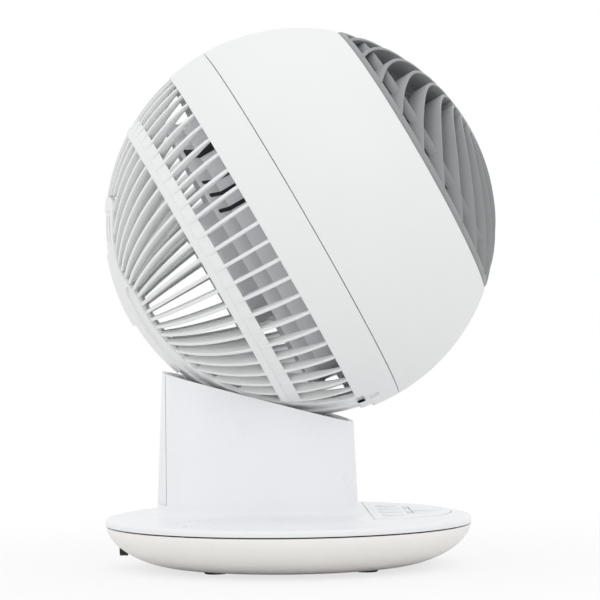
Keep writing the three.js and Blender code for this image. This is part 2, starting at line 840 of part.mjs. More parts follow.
function guideShoe(side) {
  const [near, far] = [guideMiddle - guideShoeWidth / 2, guideMiddle + guideShoeWidth / 2].map((x) => x * side);
  const profile = ballStrip(near, far, shoeOuter - guideShoeThickness, shoeOuter);
  const shoe = sweptAboutTilt(profile, cradleAngle - guideShoeHalfAngle, cradleAngle + guideShoeHalfAngle, 4);
  const half = guideStemWidth / 2 + fitGap;
  const slotProfile = ballStrip((guideMiddle - half) * side, (guideMiddle + half) * side, shoeOuter - 9, ballRadius);
  const reach = guideHalfAngle + 0.25;
  return cut(shoe, sweptAboutTilt(slotProfile, cradleAngle - reach, cradleAngle + reach, 3));
}

// The dish under the ball with a skirt round it, inside the column's mouth.
function tiltCradle() {
  const fill = columnCore(fitGap);
  const top = mouthDistance + fitGap;
  const inFill = common(ballPatch(cradleInner, cradleOuter), toBall(fill));
  const dish = common(inFill, cradleSlab(top, cradleOuter + 1));
  const hollow = toBall(columnCore(fitGap + cradleWall));
  const skirtSlab = common(cradleSlab(top, cradleOuter - 7 + cradleSkirt), toBall(columnCore(fitGap)));
  const bowl = cut(join(dish, cut(skirtSlab, hollow)), cradleWindow());
  const carrier = cut(join(bowl, cradleSaddle()), ballPatch(cradleInner - 20, cradleInner));
  const axleBore = tiltRod(axleRadius + fitGap, tiltPinionDistance, -20, 0);
  return cut(join(carrier, cradleLug(), guideStem(-1), guideStem(1)), axleBore);
}

// ---------------------------------------------------------------- head covers
// The head's frame has its origin at the ball's centre, Z along the fan axis and X across.

function bossPlace(i) {
  const [x, y] = onCircle(bossCircle, radians(45 + (360 / ductScrewCount) * i));
  return new THREE.Vector3(x, y, 0);
}

function atBosses(radius, bottom, top) {
  return copies(ductScrewCount, (i) => {
    const { x, y } = bossPlace(i);
    return rod(radius, bottom, top, 8).translate(x, y, 0);
  });
}

function frontCover() {
  const lip = openingRadius - openingLipWall;
  const collarRear = openingPlane - grilleRingDepth - 1;
  const collarTop = acrossBall(bandInner, openingRadius);
  const shell = turned([
    ...ballArc(ballRadius, seamGap / 2, openingPlane, 5),
    [lip, openingPlane],
    [lip, collarRear],
    [openingRadius, collarRear],
    ...ballArc(bandInner, seamGap / 2, collarTop, 5).reverse(),
  ], coverSegments);
  const bosses = atBosses(bossRadius, bossFoot, bossFoot + bossLength);
  return cut(join(shell, ...bosses), ...atBosses(screwShank + fitGap, 0, bossFoot + screwLength));
}

// One curved fin of the front grille, from the hub to the ring.
function grilleFin(i) {
  const sweep = radians(finSweep);
  const outerEnd = openingRadius - openingLipWall - fitGap - grilleRingWall / 2;
  const rings = span(grilleHubRadius - 1, outerEnd, 3).map((r) => {
    const turn = radians(finPhase + finSweep * r + (360 / finCount) * i);
    const middle = new THREE.Vector3(-r * Math.sin(turn), r * Math.cos(turn), acrossBall(finOuter, r));
    const along = new THREE.Vector3(1, r * sweep, 0).normalize().applyAxisAngle(upright, turn + Math.PI / 2);
    const half = new THREE.Vector3(-along.y, along.x, 0).multiplyScalar(finWidth / 2);
    const [left, right] = [middle.clone().sub(half), middle.clone().add(half)];
    const drop = new THREE.Vector3(0, 0, -finDepth);
    return [left, right, right.clone().add(drop), left.clone().add(drop)];
  });
  return lofted(rings);
}

function frontGrille() {
  const outer = openingRadius - openingLipWall - fitGap;
  const inner = outer - grilleRingWall;
  const rear = openingPlane - grilleRingDepth;
  const rim = turned([[inner, rear], [outer, rear], [outer, acrossBall(finOuter, outer)],
    [inner, acrossBall(finOuter, inner)]], 2 * finCount);
  return join(rim, grilleHub(), ...copies(finCount, grilleFin));
}

function grilleHub() {
  const edge = acrossBall(finOuter, grilleHubRadius);
  const recess = capRadius + fitGap;
  const recessFloor = edge - capRecess;
  return turned([[0, edge - grilleHubLength], [grilleHubRadius, edge - grilleHubLength], [grilleHubRadius, edge],
    [recess, acrossBall(finOuter, recess)], [recess, recessFloor], [0, recessFloor]]);
}

function grilleCap() {
  const foot = acrossBall(finOuter, grilleHubRadius) - capRecess + fitGap;
  const dome = [capRadius, capRadius * 0.6, 0].map((r) => [r, acrossBall(finOuter, r)]);
  return turned([[0, foot], [capRadius, foot], ...dome]);
}

// Turns a ring so that each rib meets it in the middle of a facet.
function betweenRibs(shape) {
  return shape.rotateZ(Math.PI / shellSegments);
}

function plateOutline(inset) {
  const wide = plateHalfWidth - inset;
  const narrow = plateNeckHalfWidth - inset;
  const shoulder = span(0, 1, 5).map((t) => {
    const x = THREE.MathUtils.lerp(wide, narrow, THREE.MathUtils.smoothstep(t, 0, 1));
    return [x, THREE.MathUtils.lerp(plateShoulder, plateNeckHeight, t)];
  });
  const corner = span(0, Math.PI / 2, 3).map((t) => {
    const [x, y] = onCircle(plateCorner, t);
    return [narrow - plateCorner + x, plateTop - inset - plateCorner + y];
  });
  const right = [[wide, -ballRadius], ...shoulder, ...corner];
  return [...right, ...right.map(([x, y]) => [-x, y]).reverse()];
}

function platePrism(inset) {
  return raised(plateOutline(inset), -ballRadius - 1, 2 - bandDepth);
}

function rearPlate() {
  const half = plateHalfWidth + plateOverlap;
  const strip = sweptAboutTilt(ballStrip(-half, half, plateInner, ballRadius, 8), plateStart, plateEnd, 16);
  return common(strip, platePrism(0));
}

function rearBand() {
  const tongue = acrossBall(bandInner, seamTongueLength) - 2 * fitGap;
  const tongueInner = tongue - seamTongueWall;
  return betweenRibs(turned([
    ...ballArc(ballRadius, -bandDepth, -seamGap / 2, 2),
    [tongue, -seamGap / 2],
    [tongue, seamTongueLength],
    [tongueInner, seamTongueLength],
    [tongueInner, -seamTongueLength],
    ...ballArc(bandInner, -bandDepth, -seamTongueLength, 2).reverse(),
  ], shellSegments));
}

// Points of a rib's edge, from the band to the plate. A depth swells toward the middle.
function ribEdge(depth, steps) {
  const bandEdge = Math.acos((bandDepth - 1) / ribOuter);
  return span(0, 1, steps).map((t) => {
    const radius = ribOuter - depth(t);
    const turn = THREE.MathUtils.lerp(bandEdge, radians(ribEndAngle), t);
    return [radius * Math.sin(turn), -radius * Math.cos(turn)];
  });
}

function ribOutline() {
  const swell = (t) => ribDepthEnd + (ribDepthMiddle - ribDepthEnd) * Math.sin(Math.PI * t);
  return [...ribEdge(() => 0, 4), ...ribEdge(swell, 2).reverse()];
}

function rearRibs() {
  const outline = ribOutline();
  const bandReach = acrossBall(ribOuter, bandDepth);
  const angles = copies(ribCount, (i) => (2 * Math.PI * i) / ribCount);
  const open = angles.filter((t) => Math.cos(t) > 0 || bandReach * Math.abs(Math.sin(t)) > plateHalfWidth + ribWidth);
  const ribs = open.map((t) =>
    raised(outline, -ribWidth / 2, ribWidth / 2).rotateX(Math.PI / 2).rotateZ(Math.PI / 2 - t),
  );
  return join(...ribs);
}

function rearRing() {
  const foot = acrossBall(ballRadius, ringPlane);
  const flangeFront = ringFlangeLength - ringPlane;
  const flangeFoot = foot - ringWall;
  const flangeReach = flangeFoot + ringFlangeLean;
  return betweenRibs(turned([
    [flangeFoot, -ringPlane],
    [foot, -ringPlane],
    [flangeReach + ringFlangeWall, flangeFront],
    [flangeReach, flangeFront],
  ], shellSegments));
}

// The tub that the rack's track is cut in.
function trackTub() {
  const half = trackHalfWidth + tubWall;
  const roof = span(half, -half, 4).map((x) => [x, acrossBall(plateInner + 0.6, x)]);
  const floor = trackFloor - tubWall;
  return sweptAboutTilt([[-half, floor], [half, floor], ...roof], trackStart - 1, trackEnd + 1, 9);
}

function trackCut() {
  const [half, top] = [trackHalfWidth, ballRadius + 2];
  return sweptAboutTilt([[-half, trackFloor], [half, trackFloor], [half, top], [-half, top]], trackStart, trackEnd, 9);
}

// A round-ended groove beside the track, cut down to one radius of the ball.
function groove(side, halfWidth, floor, from, to) {
  const strip = ballStrip((guideMiddle - halfWidth) * side, (guideMiddle + halfWidth) * side, floor, ballRadius + 2);
  const endTurn = THREE.MathUtils.radToDeg(halfWidth / ballRadius);
  const ends = [from + endTurn, to - endTurn];
  const lean = Math.asin(guideMiddle / ballRadius) * side;
  const caps = ends.map((end) => atAngle(rod(halfWidth, floor, ballRadius + 4, 8).rotateY(lean), end));
  return join(sweptAboutTilt(strip, ends[0], ends[1], 8), ...caps);
}

function guideGroove(side) {
  const halfWidth = (guideGrooveOuter - guideGrooveInner) / 2;
  return groove(side, halfWidth, ballRadius - guideGrooveDepth, guideGrooveStart, guideGrooveEnd);
}

function guideSlot(side) {
  const margin = THREE.MathUtils.radToDeg((guideGrooveOuter - guideGrooveInner - guideSlotWidth) / 2 / ballRadius);
  const floor = plateInner - 3;
  return groove(side, guideSlotWidth / 2, floor, guideGrooveStart + margin, guideGrooveEnd - margin);
}

function ventSlots() {
  return copies(ventSlotCount, (i) => {
    const middle = ventSlotPitch * (i - (ventSlotCount - 1) / 2);
    const strip = ballStrip(middle - ventSlotWidth / 2, middle + ventSlotWidth / 2, plateInner - 5, ballRadius + 1);
    return sweptAboutTilt(strip, ventStart, ventEnd, 1);
  });
}

// A shallow recess across the plate.
function recess(halfWidth, depth, from, to, steps) {
  return sweptAboutTilt(ballStrip(-halfWidth, halfWidth, ballRadius - depth, ballRadius + 2, 3), from, to, steps);
}

function rearCover() {
  const ribs = cut(join(rearRibs(), rearRing()), platePrism(plateOverlap));
  const body = join(rearBand(), rearPlate(), trackTub(), ribs);
  const wide = recess(wideRecessHalfWidth, wideRecessDepth, wideRecessStart, wideRecessEnd, 6);
  const vents = recess(ventHalfWidth, ventRecessDepth, ventRecessStart, ventRecessEnd, 2);
  const sides = [-1, 1].flatMap((side) => [guideGroove(side), guideSlot(side)]);
  return cut(body, trackCut(), wide, vents, ...ventSlots(), ...sides);
}

// The curved rack in the rear cover's track, with a tooth opposite the pinion when the head is at rest.
function tiltRack() {
  const pitch = 360 / rackTeeth;
  const meshing = tiltMeshAngle + restTilt;
  const first = meshing - pitch * Math.floor((meshing - rackStart - pitch / 2) / pitch);
  const made = Math.floor((rackEnd - pitch / 2 - first) / pitch) + 1;
  const inside = span(rackEnd, rackStart, 10).map((a) => onCircle(trackFloor + fitGap, radians(a)));
  const root = rackPitchRadius - gearModule * toothRootDepth;
  const corner = (a) => onCircle(root, radians(a));
  const outline = [corner(rackStart), ...toothedEdge(gearModule, rackTeeth, radians(first), made), corner(rackEnd)];
  return acrossTilt(raised([...outline, ...inside], -rackWidth / 2, rackWidth / 2));
}

// ---------------------------------------------------------------- duct, motor and impeller

function ductFrame() {
  const flange = acrossBall(bandInner - 2 * fitGap, ductFront);
  const flangeRear = ductFront - ductFlangeThickness;
  const flareRear = -ductRear - ductFlareLength;
  const duct = turned([
    [ductBore, ductFront],
    [ductBore, -ductRear],
    [ductBore + ductFlare, flareRear],
    [ductOuter + ductFlare, flareRear],
    [ductOuter, -ductRear],
    [ductOuter, flangeRear],
    [flange, flangeRear],
    [flange, ductFront],
  ], discSegments);
  const holes = atBosses(screwShank + fitGap, flangeRear - 1, ductFront + 1);
  return cut(join(duct, motorCup(), ...copies(strutCount, strut)), ...holes);
}

function motorCup() {
  const faceRear = motorFront + fitGap;
  return turned([
    [cupHole, faceRear],
    [cupHole, cupFront],
    [cupOuter, cupFront],
    [cupOuter, cupFront - motorCupLength],
    [cupBore, cupFront - motorCupLength],
    [cupBore, faceRear],
  ]);
}

function strut(i) {
  const arm = block([cupOuter - 1, -strutWidth / 2, strutFront - strutDepth], [ductBore + 1, strutWidth / 2, strutFront]);
  return arm.rotateZ((2 * Math.PI * (i + 0.5)) / strutCount);
}

function fanMotor() {
  const [bore, pocket] = [shaftRadius + runningGap, bearingRadius + fitGap];
  const [rearPocket, frontPocket] = [motorRear + bearingWidth + fitGap, motorFront - bearingWidth - fitGap];
  return turned([
    [bore, rearPocket],
    [pocket, rearPocket],
    [pocket, motorRear],
    [motorRadius - 2, motorRear],
    [motorRadius, motorRear + 2],
    [motorRadius, motorFront - 2],
    [motorRadius - 2, motorFront],
    [pocket, motorFront],
    [pocket, frontPocket],
    [bore, frontPocket],
  ]);
}

function bearing(rear) {
  return ring(shaftBore, bearingRadius, rear, rear + bearingWidth, 16);
}

function motorCover() {
  const inner = cupOuter + fitGap;
  const outer = inner + motorCoverWall;
  const front = strutFront - strutDepth - fitGap;
  const roof = motorRear - fitGap;
  return turned([
    [0, roof - motorCoverWall],
    [outer - 3, roof - motorCoverWall],
    [outer, roof + 1],
    [outer, front],
    [inner, front],
    [inner, roof],
    [0, roof],
  ]);
}

function impellerHub() {
  const inside = hubFront - impellerWall;
  const bossRear = hubRear + impellerWall;
  return turned([
    [shaftBore, hubFront],
    [impellerHubRadius - 2, hubFront],
    [impellerHubRadius, hubFront - 2],
    [impellerHubRadius, hubRear],
    [impellerHubRadius - impellerWall, hubRear],
    [impellerHubRadius - impellerWall, inside],
    [impellerBossRadius, inside],
    [impellerBossRadius, bossRear],
    [shaftBore, bossRear],
  ]);
}

// A blade's section as [along the chord, across it] shares of its chord and half thickness.
const bladeSection = [[-0.5, 0], [-0.2, 1], [0.25, 0.8], [0.5, 0], [0.25, -0.8], [-0.2, -1]];

function blade(i) {
  const root = impellerHubRadius - impellerWall / 2;
  const rings = span(root, bladeTipRadius, 4).map((r) => {
    const share = (r - root) / (bladeTipRadius - root);
    const chord = THREE.MathUtils.lerp(bladeRootChord, bladeTipChord, share);
    const pitch = radians(THREE.MathUtils.lerp(bladeRootPitch, bladeTipPitch, share));
    return bladeSection.map(([u, v]) => {
      const [along, across] = [u * chord, (v * bladeThickness) / 2];
      const turn = (along * Math.cos(pitch) - across * Math.sin(pitch)) / r + (2 * Math.PI * i) / bladeCount;
      const height = impellerMiddle + along * Math.sin(pitch) + across * Math.cos(pitch);
      return new THREE.Vector3(...onCircle(r, turn), height);
    });
  });
  return lofted(rings);
}

function impeller() {
  const inside = rod(impellerHubRadius - impellerWall / 2, -ballRadius, ballRadius);
  const blades = cut(join(...copies(bladeCount, blade)), inside);
  return join(impellerHub(), blades);
}

function impellerNut() {
  const rear = hubFront + fitGap;
  const bottom = shaftFront + fitGap;
  return turned([
    [shaftBore, rear],
    [nutRadius, rear],
    [nutRadius, rear + nutLength - 3],
    [nutRadius - 3, rear + nutLength],
    [0, rear + nutLength],
    [0, bottom],
    [shaftBore, bottom],
  ], 16);
}

// ---------------------------------------------------------------- the object

function group(name, parent) {
  const made = new THREE.Group();
  made.name = name;
  if (parent) parent.add(made);
  return made;
}

const fan = group("air_circulator");
const base = group("base_group", fan);
const turntable = group("turntable_group", fan);
const cradleFrame = group("cradle_group", turntable);
const pinionAxis = group("tilt_pinion_group", cradleFrame);
const head = group("head_group", fan);

cradleFrame.position.set(0, -ballCentreForward, ballCentreHeight);
cradleFrame.rotation.x = Math.PI / 2;
head.position.copy(cradleFrame.position);
head.rotation.x = radians(90 - restTilt);
const [pinionForward, pinionDown] = onCircle(tiltPinionDistance, radians(tiltMeshAngle));
pinionAxis.position.set(0, -pinionDown, pinionForward);
pinionAxis.rotation.set(Math.PI, Math.PI / 2, 0);

add(base, "base_bowl", baseBowl(), warmBase());
add(base, "ballast_plate", ballastPlate(), zincSteel());
add(base, "cord_inlet", cordInlet(), blackPlastic());
add(base, "swivel_gear", swivelGear(), whiteNylon());
add(base, "swivel_bearing_ring", bearingRing(), whiteNylon());
add(base, "swivel_retainer", retainer(), zincSteel());
const retainerScrew = add(base, "retainer_screw", screw(hubRoof), zincSteel());
retainerScrew.position.z = hubTop + 2 * fitGap + retainerThickness;
for (let i = 0; i < footCount; i++) {
  const foot = add(base, `rubber_foot_${i + 1}`, rod(footRadius, 0, footHeight), rubber());
  foot.position.copy(footPlace(i));
}

add(turntable, "stand_housing", standHousing(), whiteStand());
add(turntable, "column_rear_cover", columnRearCover(), whiteStand());
add(turntable, "turntable_plate", turntablePlate(), paleInside());
add(turntable, "control_panel", controlPanel(), whiteStand());
add(turntable, "indicator_lens", lensBar(0, turntableTop - panelThickness, turntableTop - 0.1), smokeLens());
add(turntable, "panel_board", panelBoard(), boardGreen());
const swivelDrive = add(turntable, "swivel_motor", swivelMotor(), zincSteel());
swivelDrive.position.y = swivelDistance;
const drivingPinion = add(turntable, "swivel_pinion", swivelPinion(), whiteNylon());
drivingPinion.position.y = swivelDistance;
for (let i = 0; i < postCount; i++) {
  const fixing = add(turntable, `plate_screw_${i + 1}`, screw(screwShort), zincSteel());
  fixing.position.copy(postPlace(i)).setZ(plateUnderside - fitGap);
  fixing.rotation.x = Math.PI;
}
for (const [i, [name, [x, y]]] of Object.entries(buttonPlaces).entries()) {
  add(turntable, name, button(buttonRadius(i)), whiteStand()).position.set(x, y, 0);
}

add(cradleFrame, "tilt_cradle", tiltCradle(), paleInside());
add(cradleFrame, "guide_shoe_left", guideShoe(1), whiteNylon());
add(cradleFrame, "guide_shoe_right", guideShoe(-1), whiteNylon());
add(cradleFrame, "tilt_motor", tiltMotor(), zincSteel());
add(pinionAxis, "tilt_pinion", tiltPinion(), whiteNylon());

add(head, "front_cover", frontCover(), whiteShell());
add(head, "front_grille", frontGrille(), greyGrille());
add(head, "grille_cap", grilleCap(), greyGrille());
add(head, "rear_cover", rearCover(), whiteShell());
add(head, "tilt_rack", tiltRack(), whiteNylon());
add(head, "duct_frame", ductFrame(), paleInside());
add(head, "fan_motor", fanMotor(), zincSteel());
add(head, "motor_cover", motorCover(), paleInside());
add(head, "front_bearing", bearing(motorFront - bearingWidth), steel());
add(head, "rear_bearing", bearing(motorRear), steel());
for (let i = 0; i < ductScrewCount; i++) {
  const fixing = add(head, `duct_screw_${i + 1}`, screw(), zincSteel());
  fixing.position.copy(bossPlace(i)).setZ(ductFront - ductFlangeThickness - fitGap);
  fixing.rotation.x = Math.PI;
}
add(head, "impeller", impeller(), greyGrille());
add(head, "motor_shaft", rod(shaftRadius, shaftRear, shaftFront), steel());
add(head, "impeller_nut", impellerNut(), blackPlastic());

export default fan;
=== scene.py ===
"""Dresses the air circulator fan: a ball-shaped head in a cradle, on a column over a round swivelling base.

Sizes are in millimetres and become metres where a mesh is made. Only the lamps, the merging distance and the
finishes' relief are in metres. +Z is up and the fan blows toward -Y.
"""

import json
import logging
import math
from dataclasses import dataclass, field
from enum import Enum
from functools import partial
from typing import Callable, Sequence

import bpy
from bpy.types import Material, NodeTree, Object
from mathutils import Matrix, Vector

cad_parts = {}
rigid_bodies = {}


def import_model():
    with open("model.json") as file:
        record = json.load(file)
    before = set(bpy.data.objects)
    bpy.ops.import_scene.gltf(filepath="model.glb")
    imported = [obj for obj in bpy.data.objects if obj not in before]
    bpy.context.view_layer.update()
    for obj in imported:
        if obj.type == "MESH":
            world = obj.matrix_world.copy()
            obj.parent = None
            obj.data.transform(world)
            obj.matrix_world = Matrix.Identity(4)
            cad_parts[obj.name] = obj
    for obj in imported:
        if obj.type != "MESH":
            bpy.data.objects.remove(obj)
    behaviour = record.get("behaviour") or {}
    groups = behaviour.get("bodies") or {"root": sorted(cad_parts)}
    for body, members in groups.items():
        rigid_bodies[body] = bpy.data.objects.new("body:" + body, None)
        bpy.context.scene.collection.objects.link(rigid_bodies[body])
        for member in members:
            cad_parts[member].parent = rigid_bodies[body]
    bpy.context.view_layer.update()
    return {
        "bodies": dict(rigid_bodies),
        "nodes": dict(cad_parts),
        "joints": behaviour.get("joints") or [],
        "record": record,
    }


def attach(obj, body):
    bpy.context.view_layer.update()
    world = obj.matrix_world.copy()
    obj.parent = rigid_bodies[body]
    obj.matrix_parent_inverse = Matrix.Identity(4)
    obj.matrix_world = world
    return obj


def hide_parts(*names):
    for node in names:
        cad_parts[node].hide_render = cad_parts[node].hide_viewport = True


LOG = logging.getLogger("fan")
MM = 0.001
MERGE = 1e-6
ROUND_STEPS = 180  # in a full turn of the large covers
CREASE = 30.0
HEAD_CREASE = 35.0
BROAD_EDGE = 50.0  # the large covers are rounded at edges sharper than this
Point = tuple[float, float, float]
Pair = tuple[float, float]
Colour = tuple[float, float, float, float]


class Body(str, Enum):
    """The bodies that the pieces ride on, apart from the buttons' own."""

    BASE = "base"
    TURNTABLE = "turntable"
    HEAD = "head"


class Operation(str, Enum):
    """What one solid does to another."""

    CUT = "DIFFERENCE"
    JOIN = "UNION"
    KEEP = "INTERSECT"


# ---------------------------------------------------------------- making meshes


def across_ball(radius: float, offset: float) -> float:
    """Gives the radius of a ball's slice.

    Args:
        radius: the ball's radius.
        offset: distance of the slice from the middle.

    Returns:
        The slice's own radius.
    """
    return math.sqrt(radius * radius - offset * offset)


def spread(start: float, end: float, steps: int) -> list[float]:
    """Gives evenly spread values from start to end, both included."""
    return [start + (end - start) * i / steps for i in range(steps + 1)]


def select_only(piece: Object) -> None:
    """Selects one piece and makes it active."""
    bpy.ops.object.select_all(action="DESELECT")
    piece.select_set(True)
    bpy.context.view_layer.objects.active = piece


def edited(piece: Object, *steps: Callable[[], object]) -> Object:
    """Runs steps in edit mode, each on the whole mesh.

    Args:
        piece: the piece to edit.
        steps: the operators, ready to call.

    Returns:
        The same piece.
    """
    select_only(piece)
    bpy.ops.object.mode_set(mode="EDIT")
    for step in steps:
        bpy.ops.mesh.select_all(action="SELECT")
        step()
    bpy.ops.object.mode_set(mode="OBJECT")
    return piece


def modified(piece: Object, kind: str, **settings: object) -> Object:
    """Adds a modifier and applies it.

    Args:
        piece: the piece to change.
        kind: the modifier's type.
        settings: the modifier's own settings.

    Returns:
        The same piece.
    """
    modifier = piece.modifiers.new(kind.lower(), kind)
    for label, value in settings.items():
        setattr(modifier, label, value)
    select_only(piece)
    bpy.ops.object.modifier_apply(modifier=modifier.name)
    return piece


def from_points(name: str, points: Sequence[Point], edges: Sequence, faces: Sequence) -> Object:
    """Makes an object from points in millimetres.

    Args:
        name: the object's name.
        points: the corners.
        edges: pairs of corner numbers.
        faces: lists of corner numbers.

    Returns:
        The new object, at the origin.
    """
    mesh = bpy.data.meshes.new(name)
    mesh.from_pydata([Vector(p) * MM for p in points], edges, faces)
    piece = bpy.data.objects.new(name, mesh)
    bpy.context.scene.collection.objects.link(piece)
    return piece


def closed_up(piece: Object) -> Object:
    """Merges a piece's doubled corners and turns its faces outwards."""
    mesh = bpy.ops.mesh
    return edited(piece, partial(mesh.remove_doubles, threshold=MERGE), mesh.delete_loose,
                  partial(mesh.normals_make_consistent, inside=False))


def spun(name: str, profile: Sequence[Pair], steps: int) -> Object:
    """Spins a closed profile round the Z axis.

    Args:
        name: the piece's name.
        profile: (radius, height) of each corner, in order.
        steps: the number of steps in a full turn.

    Returns:
        The closed ring or disc.
    """
    count = len(profile)
    edges = [(i, (i + 1) % count) for i in range(count)]
    piece = from_points(name, [(r, 0.0, z) for r, z in profile], edges, [])
    turn = partial(bpy.ops.mesh.spin, steps=steps, angle=2 * math.pi, center=(0, 0, 0), axis=(0, 0, 1))
    return closed_up(edited(piece, turn))


def raised(name: str, outline: Sequence[Pair], bottom: float, top: float) -> Object:
    """Extrudes a closed outline from one height to another.

    Args:
        name: the piece's name.
        outline: (x, y) of each corner, in order.
        bottom: the lower height.
        top: the upper height.

    Returns:
        The closed prism.
    """
    piece = from_points(name, [(x, y, bottom) for x, y in outline], [], [list(range(len(outline)))])
    rise = {"value": (0, 0, (top - bottom) * MM)}
    return closed_up(edited(piece, partial(bpy.ops.mesh.extrude_region_move, TRANSFORM_OT_translate=rise)))


def lofted(name: str, rings: Sequence[Sequence[Point]]) -> Object:
    """Skins a row of rings that have the same number of corners, and closes both ends.

    Args:
        name: the piece's name.
        rings: the corners of each ring, in the same order.

    Returns:
        The closed piece.
    """
    width = len(rings[0])
    points = [p for ring in rings for p in ring]
    faces: list[list[int]] = [list(range(width)), [len(points) - 1 - i for i in range(width)]]
    for row in range(len(rings) - 1):
        for i in range(width):
            j = (i + 1) % width
            near, far = row * width, (row + 1) * width
            faces.append([near + i, near + j, far + j, far + i])
    return closed_up(from_points(name, points, [], faces))


def settled(name: str) -> Object:
    """Names the primitive that was just added and applies its place."""
    piece = bpy.context.active_object
    piece.name = name
    bpy.ops.object.transform_apply(location=True, rotation=True, scale=True)
    return piece


def block(name: str, low: Point, high: Point) -> Object:
    """Adds a box between two corners."""
    size = Vector(high) - Vector(low)
    middle = (Vector(low) + Vector(high)) / 2 * MM
    bpy.ops.mesh.primitive_cube_add(size=1, location=middle, scale=size * MM)
    return settled(name)


def rod(name: str, radius: float, bottom: float, top: float, at: Pair = (0, 0), sides: int = 48) -> Object:
    """Adds an upright cylinder.

    Args:
        name: the piece's name.
        radius: its radius.
        bottom: its lower end.
        top: its upper end.
        at: where its axis stands.
        sides: the number of its sides.

    Returns:
        The cylinder.
    """
    place = Vector((at[0], at[1], (bottom + top) / 2)) * MM
    depth = (top - bottom) * MM
    bpy.ops.mesh.primitive_cylinder_add(vertices=sides, radius=radius * MM, depth=depth, location=place)
    return settled(name)


def combine(piece: Object, operation: Operation, *tools: Object) -> Object:
    """Cuts, joins or keeps a piece with each tool in turn, and removes the tools."""
    for tool in tools:
        modified(piece, "BOOLEAN", operation=operation.value, solver="EXACT", object=tool)
        bpy.data.objects.remove(tool)
    return piece


def softened(piece: Object, width: float, segments: int = 2, angle: float = 40.0) -> Object:
    """Rounds a piece's sharp edges.

    Args:
        piece: the piece.
        width: the bevel's width.
        segments: the steps across the bevel.
        angle: edges sharper than this many degrees are rounded.

    Returns:
        The same piece.
    """
    return modified(piece, "BEVEL", width=width * MM, segments=segments, limit_method="ANGLE",
                    angle_limit=math.radians(angle))


def smoothed(piece: Object, angle: float = CREASE) -> Object:
    """Shades a piece smooth, except at edges sharper than an angle in degrees."""
    select_only(piece)
    bpy.ops.object.shade_smooth_by_angle(angle=math.radians(angle))
    return piece


def joined(name: str, pieces: Sequence[Object]) -> Object:
    """Joins pieces into one object with a new name."""
    bpy.ops.object.select_all(action="DESELECT")
    for piece in pieces:
        piece.select_set(True)
    bpy.context.view_layer.objects.active = pieces[0]
    bpy.ops.object.join()
    pieces[0].name = name
    pieces[0].data.name = name
    return pieces[0]


def placed(piece: Object, place: Matrix) -> Object:
    """Moves a piece's mesh to its place, so that its object stays at the origin."""
    piece.data.transform(place)
    piece.data.update()
    return piece


def stood(piece: Object, turn: float) -> Object:
    """Stands a flat piece up along the Z axis and turns it round that axis, in radians."""
    return placed(piece, Matrix.Rotation(turn, 4, "Z") @ Matrix.Rotation(math.pi / 2, 4, "X"))


def turned_copies(name: str, piece: Object, angles: Sequence[float]) -> Object:
    """Copies a piece round the Z axis and joins the copies.

    Args:
        name: the joined piece's name.
        piece: the piece to copy, which is used up.
        angles: the turn of each copy, in radians.

    Returns:
        The joined piece.
    """
    copies = []
    for angle in angles:
        copy = piece.copy()
        copy.data = piece.data.copy()
        bpy.context.scene.collection.objects.link(copy)
        copies.append(placed(copy, Matrix.Rotation(angle, 4, "Z")))
    bpy.data.objects.remove(piece)
    return joined(name, copies)


def cad_copy(node: Object, name: str) -> Object:
    """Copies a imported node's mesh as one merged skin.

    Args:
        node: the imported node.
        name: the copy's name.

    Returns:
        The copy, which rides on nothing yet.
    """
    piece = bpy.data.objects.new(name, node.data.copy())
    piece.data.name = name
    piece.data.materials.clear()
    bpy.context.scene.collection.objects.link(piece)
    mesh = bpy.ops.mesh
    return edited(piece, mesh.customdata_custom_splitnormals_clear, partial(mesh.remove_doubles, threshold=MERGE))


# ---------------------------------------------------------------- finishes


def linear(level: float) -> float:
    """Turns a display level from 0 to 255 into a linear share."""
    share = level / 255
    return share / 12.92 if share <= 0.04045 else ((share + 0.055) / 1.055) ** 2.4


def colour(red: float, green: float, blue: float) -> Colour:
    """Gives a linear colour from display levels."""
    return (linear(red), linear(green), linear(blue), 1.0)


def feed(tree: NodeTree, socket: object, value: object) -> None:
    """Sets a socket to a number, or links another socket to it."""
    if isinstance(value, (int, float)):
        socket.default_value = value
    else:
        tree.links.new(value, socket)


def new_group(name: str, inputs: dict[str, float]) -> tuple[NodeTree, dict[str, object], dict[str, object], object]:
    """Starts a shader node group that gives a colour, a roughness and a height.

    Args:
        name: the group's name.
        inputs: each input value's name and default; a name that ends with "Color" is a colour.

    Returns:
        The group, its inputs, its outputs and the place on the object.
    """
    group = bpy.data.node_groups.new(name, "ShaderNodeTree")
    sockets = [(label, "INPUT") for label in inputs]
    sockets += [(label, "OUTPUT") for label in ("Skin Color", "Roughness", "Height")]
    for label, side in sockets:
        kind = "NodeSocketColor" if label.endswith("Color") else "NodeSocketFloat"
        socket = group.interface.new_socket(label, in_out=side, socket_type=kind)
        if side == "INPUT" and kind == "NodeSocketFloat":
            socket.default_value = inputs[label]
    source = group.nodes.new("NodeGroupInput").outputs
    result = group.nodes.new("NodeGroupOutput").inputs
    return group, source, result, group.nodes.new("ShaderNodeTexCoord").outputs["Object"]


def maths(tree: NodeTree, operation: str, first: object, second: object) -> object:
    """Adds a Math node and gives its result.

    Args:
        tree: the node tree.
        operation: the node's operation.
        first: a socket or a number.
        second: a socket or a number.

    Returns:
        The node's output socket.
    """
    node = tree.nodes.new("ShaderNodeMath")
    node.operation = operation
    feed(tree, node.inputs[0], first)
    feed(tree, node.inputs[1], second)
    return node.outputs[0]


def noise(tree: NodeTree, vector: object, scale: object, detail: float) -> object:
    """Adds a noise pattern and gives its factor socket."""
    node = tree.nodes.new("ShaderNodeTexNoise")
    for label, value in (("Detail", detail), ("Vector", vector), ("Scale", scale)):
        feed(tree, node.inputs[label], value)
    return node.outputs["Fac"]


